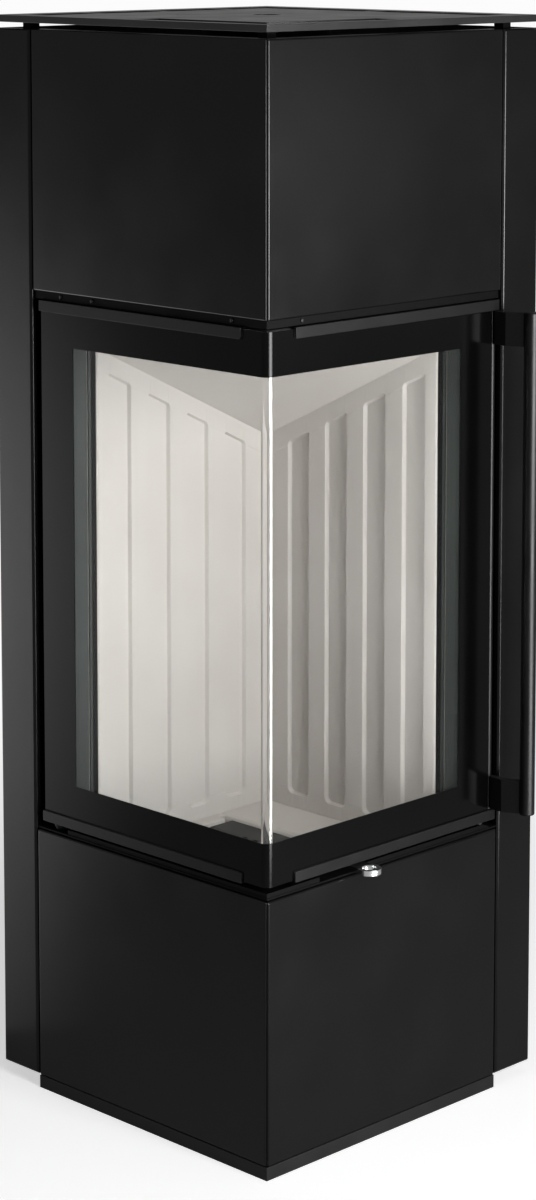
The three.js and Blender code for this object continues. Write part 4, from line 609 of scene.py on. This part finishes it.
def grid_faces(rows, columns, keep=None):
    """Quads between the points of a rows by columns grid; keep says which cells stay."""
    r, c = np.meshgrid(np.arange(rows - 1), np.arange(columns - 1), indexing="ij")
    first = r * columns + c
    quads = np.stack([first, first + 1, first + columns + 1, first + columns], -1)
    return quads[keep] if keep is not None else quads.reshape(-1, 4)


def face_outwards(piece):
    """Turns the faces of a closed piece so that they all look out."""
    shape = bmesh.new()
    shape.from_mesh(piece.data)
    bmesh.ops.recalc_face_normals(shape, faces=shape.faces)
    shape.to_mesh(piece.data)
    shape.free()


print("faces of a 3 by 4 grid:", len(grid_faces(3, 4)))

# %% [markdown]
# The slab's box says where its faces and ends are. The channels are measured off the photograph: four of
# one width at an even pitch, shallow, with rounder corners at the foot than at the head.

# %% A slab with pressed channels
left_low, left_high = box_of("lining_left")
LEFT_END = HALF + left_high[1]  # ends of the slabs, from the glass corner
BACK_END = HALF - box_of("lining_back")[0][0]
CHAMBER_FRONT = HALF + left_low[1]  # the slabs' front edges, from the glass corner
LINED = HALF - left_high[0]  # the lined faces, from the glass corner
SLAB = left_high[0] - left_low[0]
SLAB_FOOT = left_low[2]
FIRE_FLOOR = box_of("floor_brick_back")[1][2]
BAFFLE_BACK = 0.461  # height of the baffle's underside over the fire floor, at the lined faces
BAFFLE_RISE = 0.487  # metres up for each metre towards the glass
BAFFLE_GAP = 0.0003  # between a slab's top and the baffle
CHANNEL_FIRST, CHANNEL_PITCH, CHANNEL_WIDTH, CHANNELS = 0.0619, 0.0629, 0.036, 4
CHANNEL_DEEP, CHANNEL_FLANK = 0.0054, 0.0023
CHANNEL_FOOT, CHANNEL_HEAD = 0.016, 0.022  # from the fire floor, and down from the baffle
FOOT_ROUND, HEAD_ROUND = 0.009, 0.004
EDGE_ROUND = 0.003
FALL_POINTS, ROUND_POINTS, EDGE_POINTS, MIDDLE_ROWS = 8, 10, 7, 7  # on each stretch of the grid
FIRSTS = CHANNEL_FIRST + CHANNEL_PITCH * np.arange(CHANNELS)  # where each channel starts


def baffle_level(along):
    """Height of the baffle's underside over a lined wall. It rises towards the glass."""
    return FIRE_FLOOR + BAFFLE_BACK + BAFFLE_RISE * (LINED - along)


def channel_depth(along, up):
    """How deep the press went. The distance in from a channel's sides and from its foot or head is rounded
    off at the corner: r - hypot(r - side, r - end) within a round r of both. A smooth S (3t^2 - 2t^3) of
    the lesser of the two distances over the flank's run gives the depth."""
    deep = np.zeros_like(along)
    foot = up - (FIRE_FLOOR + CHANNEL_FOOT)
    head = (baffle_level(along) - CHANNEL_HEAD - up) / math.hypot(1, BAFFLE_RISE)
    for first in FIRSTS:
        side = np.minimum(along - first, first + CHANNEL_WIDTH - along)
        inside = np.full_like(along, CHANNEL_FLANK)
        for end, turn in ((foot, FOOT_ROUND), (head, HEAD_ROUND)):
            past = np.hypot(np.maximum(turn - side, 0), np.maximum(turn - end, 0))
            inside = np.minimum(inside, turn - past)
        t = np.clip(inside / CHANNEL_FLANK, 0, 1)
        deep = np.maximum(deep, CHANNEL_DEEP * t * t * (3 - 2 * t))
    return deep


def slab_grid(far_end):
    """The slab's face as a grid of (along, into, up). Its first columns round the front edge off."""
    fall = np.linspace(0, CHANNEL_FLANK, FALL_POINTS)
    fall = np.concatenate([fall, np.linspace(CHANNEL_FLANK, FOOT_ROUND, ROUND_POINTS)[1:]])
    channel = np.concatenate([fall, [CHANNEL_WIDTH / 2], CHANNEL_WIDTH - fall[::-1]])
    columns = (FIRSTS[:, None] + channel).ravel()
    turn = np.linspace(0, math.pi / 2, EDGE_POINTS)
    edge = CHAMBER_FRONT + EDGE_ROUND * (1 - np.cos(turn))
    along = np.concatenate([edge, columns, [far_end]])
    back = np.concatenate([EDGE_ROUND * (1 - np.sin(turn)), np.zeros(len(columns) + 1)])
    low = np.concatenate([[SLAB_FOOT], FIRE_FLOOR + CHANNEL_FOOT + fall])
    high = np.concatenate([-CHANNEL_HEAD - fall[::-1] * math.hypot(1, BAFFLE_RISE), [-BAFFLE_GAP]])
    middle = np.linspace(0, 1, MIDDLE_ROWS + 2)[1:-1]
    top = baffle_level(along)[None, :] + high[:, None]
    bottom = np.broadcast_to(low[:, None], (len(low), len(along)))
    between = bottom[-1] + (top[0] - bottom[-1]) * middle[:, None]
    up = np.concatenate([bottom, between, top])
    wide = np.broadcast_to(along, up.shape)
    return wide, channel_depth(wide, up) + back, up


def closed_slab(node, far_end, wall_point):
    """The grid as a closed slab: its outline is carried to the back at full thickness, and one face closes
    it. wall_point turns a distance along, a depth and a height into x, y and z."""
    wide, into, up = slab_grid(far_end)
    rows, columns = wide.shape
    face = np.stack(wall_point(wide, into, up), -1).reshape(-1, 3)
    index = np.arange(rows * columns).reshape(rows, columns)
    loop = np.concatenate([index[0, :-1], index[:-1, -1], index[-1, :0:-1], index[:0:-1, 0]])
    flat_wide, flat_up = wide.ravel()[loop], up.ravel()[loop]
    behind = np.stack(wall_point(flat_wide, np.full_like(flat_wide, SLAB), flat_up), -1)
    first = len(face)
    ring = np.arange(len(loop))
    after = np.roll(ring, -1)
    rim = np.stack([loop, first + ring, first + after, loop[after]], -1)
    faces = [tuple(f) for f in np.concatenate([grid_faces(rows, columns), rim]).tolist()]
    faces.append(tuple((first + ring[::-1]).tolist()))
    body = solids[node]["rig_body"]
    piece = piece_from("pressed_" + node, np.concatenate([face, behind]), faces, fireclay, body)
    face_outwards(piece)
    piece.data.set_sharp_from_angle(angle=SHARP_ANGLE)
    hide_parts(node)
    return piece


# %% [markdown]
# The same slab stands at the left and at the back. All that differs is its length and which way it faces,
# so each wall has a function that turns a place on its slab into x, y and z.


# %% Both linings
def left_wall(along, into, up):
    """The left slab runs along Y and faces +X."""
    return HALF - LINED - into, along - HALF, up


def back_wall(along, into, up):
    """The back slab runs along X and faces -Y."""
    return HALF - along, LINED + into - HALF, up


left_slab = closed_slab("lining_left", LEFT_END, left_wall)
back_slab = closed_slab("lining_back", BACK_END, back_wall)
print("lining points:", len(left_slab.data.vertices), len(back_slab.data.vertices))

# %% [markdown]
# ## The bent pane
# The pane is one sheet of glass-ceramic, softened and bent through a right angle, with its cut edges ground
# round. The solid has the bend in a few flats, which would break up a reflection. Here its plan is a closed
# profile, two straight runs and an arc of fine steps, carried up from edge to edge, and the Bevel modifier
# grinds the edges.

# %% Bend the pane
pane_low, pane_high = box_of("door_glass")
PANE_THICKNESS = 0.004
PANE_FRONT = HALF - pane_high[0]  # depth of its outer face
PANE_ENDS = (HALF - pane_low[0], HALF + pane_high[1])  # along the front and the right wing
PANE_LEVELS = (pane_low[2], pane_high[2])
PANE_BEND = 0.009  # outer radius
PANE_GROUND = 0.0006  # how far its edges are ground round
BEND_POINTS = 25


def bend_line(depth, radius):
    """Plan points of a line at one depth: from the front wing's end, round a quarter circle, to the right
    wing's end. Its middle points are centre + radius * (cos, sin) of an angle from -90 to 0 degrees."""
    turn = np.linspace(-math.pi / 2, 0, BEND_POINTS)
    x = HALF - depth - radius + radius * np.cos(turn)
    y = -HALF + depth + radius + radius * np.sin(turn)
    x = np.concatenate([[HALF - PANE_ENDS[0]], x, [HALF - depth]])
    y = np.concatenate([[-HALF + depth], y, [-HALF + PANE_ENDS[1]]])
    return np.stack([x, y], -1)


outer = bend_line(PANE_FRONT, PANE_BEND)
inner = bend_line(PANE_FRONT + PANE_THICKNESS, PANE_BEND - PANE_THICKNESS)
profile = np.concatenate([outer, inner[::-1]])
sides = len(profile)
points = np.concatenate([np.column_stack([profile, np.full(sides, level)]) for level in PANE_LEVELS])
ring = np.arange(sides)
after = np.roll(ring, -1)
walls = np.stack([ring, after, after + sides, ring + sides], -1).tolist()
half = sides // 2
step_in = np.arange(half - 1)
across = np.stack([step_in, sides - 1 - step_in, sides - 2 - step_in, step_in + 1], -1)
caps = across.tolist() + (across[:, ::-1] + sides).tolist()
pane_body = solids["door_glass"]["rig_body"]
pane = piece_from("bent_pane", points, walls + caps, clear_glass, pane_body)
pane.data.set_sharp_from_angle(angle=SHARP_ANGLE)
pane.data.materials.append(bend_glass)
stretch = np.concatenate([ring % half, step_in, step_in])  # where each face lies along the profile
pane.data.polygons.foreach_set("material_index", ((stretch > 0) & (stretch < half - 2)).astype(np.int32))
ground = pane.modifiers.new("ground_edges", "BEVEL")
ground.width = PANE_GROUND
ground.segments = 3
ground.limit_method = "ANGLE"
ground.angle_limit = SHARP_ANGLE
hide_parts("door_glass")
print("pane points:", len(points))

# %% [markdown]
# ## The printed border
# The pane's black border is a broad band along the top and the bottom, right round the bend, and one up
# each end. It is worked out on a grid: one parameter runs along the pane's face, round the bend, and the
# other runs up. The cells over the window are left out, and what remains is given a film's thickness. Only
# the lines up the bend are smooth; all the others stay sharp, so that the flats stay flat.

# %% Print the border
PRINT_DEPTH = 0.0028  # the film's depth behind the door's face
BORDER_INSET = 0.0003  # how far it stays inside the pane's edge
WINDOW_END = 0.3185  # end of the clear window, along each wing
WINDOW_LEVELS = (0.3829, 0.9003)  # its bottom and top
PRINT_BEND = 0.0092  # radius of the film's bend
QUARTER = PRINT_BEND * math.pi / 4  # length of half the bend
FILM = 0.0001  # thickness of the enamel


def pane_face(along):
    """A point on the pane's face. along is negative on the front wing, positive on the right wing, and 0 at
    the middle of the bend: straight runs joined by a quarter circle."""
    turn = np.clip(along / QUARTER, -1, 1) * math.pi / 4 - math.pi / 4
    straight = np.maximum(np.abs(along) - QUARTER, 0)
    x = HALF - PRINT_DEPTH - PRINT_BEND + PRINT_BEND * np.cos(turn) - np.where(along < 0, straight, 0)
    y = -HALF + PRINT_DEPTH + PRINT_BEND + PRINT_BEND * np.sin(turn) + np.where(along > 0, straight, 0)
    return x, y


corner_shift = PRINT_DEPTH + PRINT_BEND - QUARTER  # between distances off the corner and along the face
along = np.concatenate(
    [
        [-(PANE_ENDS[0] - BORDER_INSET - corner_shift), -(WINDOW_END - corner_shift)],
        np.linspace(-QUARTER, QUARTER, BEND_POINTS),
        [WINDOW_END - corner_shift, PANE_ENDS[1] - BORDER_INSET - corner_shift],
    ]
)
levels = np.array([PANE_LEVELS[0] + BORDER_INSET, *WINDOW_LEVELS, PANE_LEVELS[1] - BORDER_INSET])
z, a = np.meshgrid(levels, along, indexing="ij")
x, y = pane_face(a)
points = np.stack([x, y, z], -1).reshape(-1, 3)
keep = np.ones((len(levels) - 1, len(along) - 1), bool)
keep[1, 1:-1] = False
quads = grid_faces(len(levels), len(along), keep)
border = piece_from("printed_border", points, quads, black_enamel, "door")
ends = np.empty(2 * len(border.data.edges), np.int32)
border.data.edges.foreach_get("vertices", ends)
ends = ends.reshape(-1, 2)
column = ends[:, 0] % len(along)
round_bend = (column == ends[:, 1] % len(along)) & (column > 1) & (column < len(along) - 2)
border.data.edges.foreach_set("use_edge_sharp", ~round_bend)
enamel = border.modifiers.new("film", "SOLIDIFY")
enamel.thickness = FILM
enamel.offset = -1
print("border points:", len(points))

# %% [markdown]
# ## Painted shadow lines beside the strips
# Each retaining strip stands proud of the glass, and the dark shade along its edge is painted as a thin black
# tube where it meets the glass. It is a circle carried along an L: straight beside the strip, a quarter turn
# at the strip's inner end, and straight across the end. The strip's own box says where it runs.

# %% Painted shadow lines
SHADOW_LINE_RADIUS = 0.0011  # radius of the tube that paints the shadow line
SHADOW_LINE_TURN = 0.0025  # radius of its path's turn
SHADOW_LINE_END = 0.002  # how far it stops before the end of the strip or of the pane
SPOKES, TURN_POINTS = 12, 9  # points round the tube, and along its path's turn


def painted_shadow_line(level, side):
    """A dark tube that paints the shade beside a strip, along an L: path + radius * (cos f * normal, sin f *
    depth). The path's turn is centre + turn radius * (-sin t, cos t) for t from 0 to 90 degrees, in lengths
    along the wing and up."""
    low, high = box_of(f"glass_strip_{level}_{side}")
    near = HALF - high[0] if side == "front" else HALF + low[1]
    far = HALF - max(low[0], pane_low[0]) if side == "front" else HALF + min(high[1], pane_high[1])
    up = 1 if level == "lower" else -1
    edge, other = (high[2], low[2]) if level == "lower" else (low[2], high[2])
    t = np.linspace(0, math.pi / 2, TURN_POINTS)
    path_along = np.concatenate([[far - SHADOW_LINE_END], near + SHADOW_LINE_TURN * (1 - np.sin(t)), [near]])
    path_up = np.concatenate([[edge], edge - up * SHADOW_LINE_TURN * (1 - np.cos(t)), [other]])
    out_along = np.concatenate([[0], -np.sin(t), [-1]])
    out_up = np.concatenate([[up], up * np.cos(t), [0]])
    f = np.arange(SPOKES) * 2 * math.pi / SPOKES
    along = path_along[:, None] + SHADOW_LINE_RADIUS * out_along[:, None] * np.cos(f)
    z = path_up[:, None] + SHADOW_LINE_RADIUS * out_up[:, None] * np.cos(f)
    depth = np.broadcast_to(PRINT_DEPTH - SHADOW_LINE_RADIUS * np.sin(f), along.shape)
    x, y = (HALF - along, depth - HALF) if side == "front" else (HALF - depth, along - HALF)
    points = np.stack([x, y, z], -1).reshape(-1, 3)
    rows, ring = len(path_along), np.arange(SPOKES)
    first = ring + SPOKES * np.arange(rows - 1)[:, None]
    after = (ring + 1) % SPOKES + SPOKES * np.arange(rows - 1)[:, None]
    tube = np.stack([first, after, after + SPOKES, first + SPOKES], -1).reshape(-1, 4).tolist()
    ends = [ring[::-1].tolist(), (ring + SPOKES * (rows - 1)).tolist()]
    # the tube is painted shadow, in the carcass's near-black lacquer
    piece = piece_from(f"bead_{level}_{side}", points, tube + ends, carcass_lacquer, "door")
    face_outwards(piece)
    return piece


painted_shadow_lines = [painted_shadow_line(level, side) for level in LEVELS for side in SIDES]
print("beads:", len(painted_shadow_lines))

# %% [markdown]
# ## Room and light
# A pale floor, a white studio and soft lamps. The lamps stay at a level at which a tone looks about as
# written. The background would light the stove from all sides and wash out the black, so it is shown only
# to the rays that look at it: those of the camera, those that came through glass and, weakened, those that
# a gloss mirrors.

# %% Which rays see the pale background
BACKGROUND, FILL = 0.97, 0.02  # its strength, and what it lights matt things with
IN_GLOSS, FLOOR_IN_GLOSS = 0.35, 0.1  # the share of it, and of the floor's, that a gloss mirrors


def background_share(tree, gloss):
    """How much of the pale background a ray sees: all of it from the camera or through glass, a share of it
    in a reflection, and none of it once the ray has left a matt surface, so that it lights nothing."""
    path = tree.nodes.new("ShaderNodeLightPath")
    dimmed = calculate(tree, "MULTIPLY", gloss)
    direct = calculate(tree, "MAXIMUM")
    seen = calculate(tree, "MAXIMUM")
    unlit = calculate(tree, "LESS_THAN", 0.5)  # no matt bounce so far
    share = calculate(tree, "MULTIPLY")
    tree.links.new(path.outputs["Is Glossy Ray"], dimmed.inputs[0])
    tree.links.new(path.outputs["Is Camera Ray"], direct.inputs[0])
    tree.links.new(path.outputs["Is Transmission Ray"], direct.inputs[1])
    tree.links.new(direct.outputs["Value"], seen.inputs[0])
    tree.links.new(dimmed.outputs["Value"], seen.inputs[1])
    tree.links.new(path.outputs["Diffuse Depth"], unlit.inputs[0])
    tree.links.new(seen.outputs["Value"], share.inputs[0])
    tree.links.new(unlit.outputs["Value"], share.inputs[1])
    return share.outputs["Value"]


print("background:", BACKGROUND, "fill:", FILL)

# %% [markdown]
# A studio floor runs up into the backdrop with no line between them. Here a matt floor carries the shadow
# near the stove, lifted a little by its own share of the background, and farther off it fades to the
# background itself.

# %% Floor
FLOOR_REACH = 9.0
FLOOR_LIFT = 0.57
FADE_FROM, FADE_TO = 0.7, 2.0  # distances from the stove's middle over which the floor becomes background

corners = [(-FLOOR_REACH, -FLOOR_REACH, 0), (FLOOR_REACH, -FLOOR_REACH, 0)]
corners += [(FLOOR_REACH, FLOOR_REACH, 0), (-FLOOR_REACH, FLOOR_REACH, 0)]
floor_mesh = bpy.data.meshes.new("floor")
floor_mesh.from_pydata(corners, [], [(0, 1, 2, 3)])
floor = bpy.data.objects.new("floor", floor_mesh)
bpy.context.scene.collection.objects.link(floor)
pale_floor, tree, shader, place = start_finish("pale_floor", 0.9, specular=0.05)
tree.links.new(clouded(tree, place, 0.8, 236, 240), shader.inputs["Base Color"])
shown = tree.nodes.new("ShaderNodeEmission")
lift = calculate(tree, "MULTIPLY", FLOOR_LIFT)
both = tree.nodes.new("ShaderNodeAddShader")
tree.links.new(background_share(tree, FLOOR_IN_GLOSS), lift.inputs[0])
tree.links.new(lift.outputs["Value"], shown.inputs["Strength"])
tree.links.new(shader.outputs["BSDF"], both.inputs[0])
tree.links.new(shown.outputs["Emission"], both.inputs[1])
far = tree.nodes.new("ShaderNodeVectorMath")
far.operation = "LENGTH"
fade = remap(tree, FADE_FROM, FADE_TO, smooth=True)
horizon = tree.nodes.new("ShaderNodeEmission")
level = remap(tree, to_low=FILL, to_high=BACKGROUND)
away = tree.nodes.new("ShaderNodeMixShader")
tree.links.new(place, far.inputs[0])
tree.links.new(far.outputs["Value"], fade.inputs["Value"])
tree.links.new(background_share(tree, IN_GLOSS), level.inputs["Value"])
tree.links.new(level.outputs["Result"], horizon.inputs["Strength"])
tree.links.new(fade.outputs["Result"], away.inputs["Fac"])
tree.links.new(both.outputs["Shader"], away.inputs[1])
tree.links.new(horizon.outputs["Emission"], away.inputs[2])
tree.links.new(away.outputs["Shader"], tree.nodes["Material Output"].inputs["Surface"])
floor_mesh.materials.append(pale_floor)
print("floor:", 2 * FLOOR_REACH, "m square")

# %% [markdown]
# The studio's walls are the world itself, white where it is looked at and nearly dark where it would light.

# %% World
world = bpy.data.worlds.new("studio")
bpy.context.scene.world = world
world.use_nodes = True
tree = world.node_tree
seen = tree.nodes["Background"]
seen.inputs["Color"].default_value = (1, 1, 1, 1)
seen.inputs["Strength"].default_value = BACKGROUND
fill = tree.nodes.new("ShaderNodeBackground")
fill.inputs["Color"].default_value = (1, 1, 1, 1)
fill.inputs["Strength"].default_value = FILL
mix = tree.nodes.new("ShaderNodeMixShader")
tree.links.new(background_share(tree, IN_GLOSS), mix.inputs["Fac"])
tree.links.new(fill.outputs["Background"], mix.inputs[1])
tree.links.new(seen.outputs["Background"], mix.inputs[2])
tree.links.new(mix.outputs["Shader"], tree.nodes["World Output"].inputs["Surface"])
print("world:", world.name)

# %% [markdown]
# Three large soft boxes stand round the stove. The key stands to the right of the camera, because in the
# firebox the left lining is nearly white and the back one grey. The strip stands low, nearer to the stove,
# and is only there to draw the line of light down the bend of the glass. The top one lifts the plate a
# little.


# %% Lamps
def softbox(name, azimuth, distance, height, size, radiance, aim=0.65, gloss_only=False):
    """A rectangular lamp at an azimuth round the stove, in degrees from +X. It looks at the height aim on
    the stove's axis, and its power is its radiance times its area times pi."""
    lamp_data = bpy.data.lights.new(name, "AREA")
    lamp_data.shape = "RECTANGLE"
    lamp_data.size, lamp_data.size_y = size
    lamp_data.energy = radiance * size[0] * size[1] * math.pi
    lamp = bpy.data.objects.new(name, lamp_data)
    bpy.context.scene.collection.objects.link(lamp)
    turn = math.radians(azimuth)
    lamp.location = (distance * math.cos(turn), distance * math.sin(turn), height)
    lamp.rotation_euler = (math.pi / 2 - math.atan2(height - aim, distance), 0, turn + math.pi / 2)
    lamp.visible_diffuse = not gloss_only
    lamp.visible_camera = False
    lamp.visible_transmission = False
    return lamp


softbox("key", azimuth=-8, distance=3.2, height=1.2, size=(1.3, 1.8), radiance=15)
softbox(
    "strip", azimuth=2.7, distance=1.39, height=0.5, size=(0.8, 1.3), radiance=26, aim=0.5, gloss_only=True
)
softbox("top", azimuth=-30, distance=0.5, height=3.6, size=(2.0, 2.0), radiance=1.0)

# %% [markdown]
# A studio for black gloss also has soft glows that are only there to be mirrored. Each is a sheet whose
# light fades out from its middle, and only gloss can see it, so that it draws a slow gradient over the
# panels and lights nothing.


# %% Glows
def glow(name, centre, azimuth, slope, size, radiance):
    """A clear sheet that glows in its middle: its strength falls smoothly to nothing at an ellipse of its
    size. Its length runs off along an azimuth and rises by a slope, both in degrees; its width lies level
    across that."""
    wide, high = size[0] / 2, size[1] / 2
    mesh = bpy.data.meshes.new(name)
    corners = [(-wide, -high, 0), (wide, -high, 0), (wide, high, 0), (-wide, high, 0)]
    mesh.from_pydata(corners, [], [(0, 1, 2, 3)])
    sheet = bpy.data.objects.new(name, mesh)
    bpy.context.scene.collection.objects.link(sheet)
    sheet.location = centre
    sheet.rotation_euler = (math.radians(slope), 0, math.radians(azimuth - 90))
    for kind in ("camera", "diffuse", "transmission", "volume_scatter", "shadow"):
        setattr(sheet, "visible_" + kind, False)
    material = bpy.data.materials.new(name)
    material.use_nodes = True
    tree = material.node_tree
    tree.nodes.remove(tree.nodes["Principled BSDF"])
    place = tree.nodes.new("ShaderNodeTexCoord")
    unit = tree.nodes.new("ShaderNodeVectorMath")
    unit.operation = "DIVIDE"
    unit.inputs[1].default_value = (wide, high, 1)
    spot = tree.nodes.new("ShaderNodeVectorMath")
    spot.operation = "LENGTH"
    fade = remap(tree, to_low=radiance, to_high=0.0, smooth=True)
    light = tree.nodes.new("ShaderNodeEmission")
    clear = tree.nodes.new("ShaderNodeBsdfTransparent")
    both = tree.nodes.new("ShaderNodeAddShader")
    tree.links.new(place.outputs["Object"], unit.inputs[0])
    tree.links.new(unit.outputs["Vector"], spot.inputs[0])
    tree.links.new(spot.outputs["Value"], fade.inputs["Value"])
    tree.links.new(fade.outputs["Result"], light.inputs["Strength"])
    tree.links.new(light.outputs["Emission"], both.inputs[0])
    tree.links.new(clear.outputs["BSDF"], both.inputs[1])
    tree.links.new(both.outputs["Shader"], tree.nodes["Material Output"].inputs["Surface"])
    mesh.materials.append(material)
    return sheet


glow("glow_left", (-1.07, -0.61, 0.41), azimuth=222.5, slope=28.8, size=(1.06, 2.8), radiance=4.4)
glow("glow_right", (2.08, 1.64, 0.95), azimuth=47, slope=90, size=(0.8, 0.9), radiance=1.2)
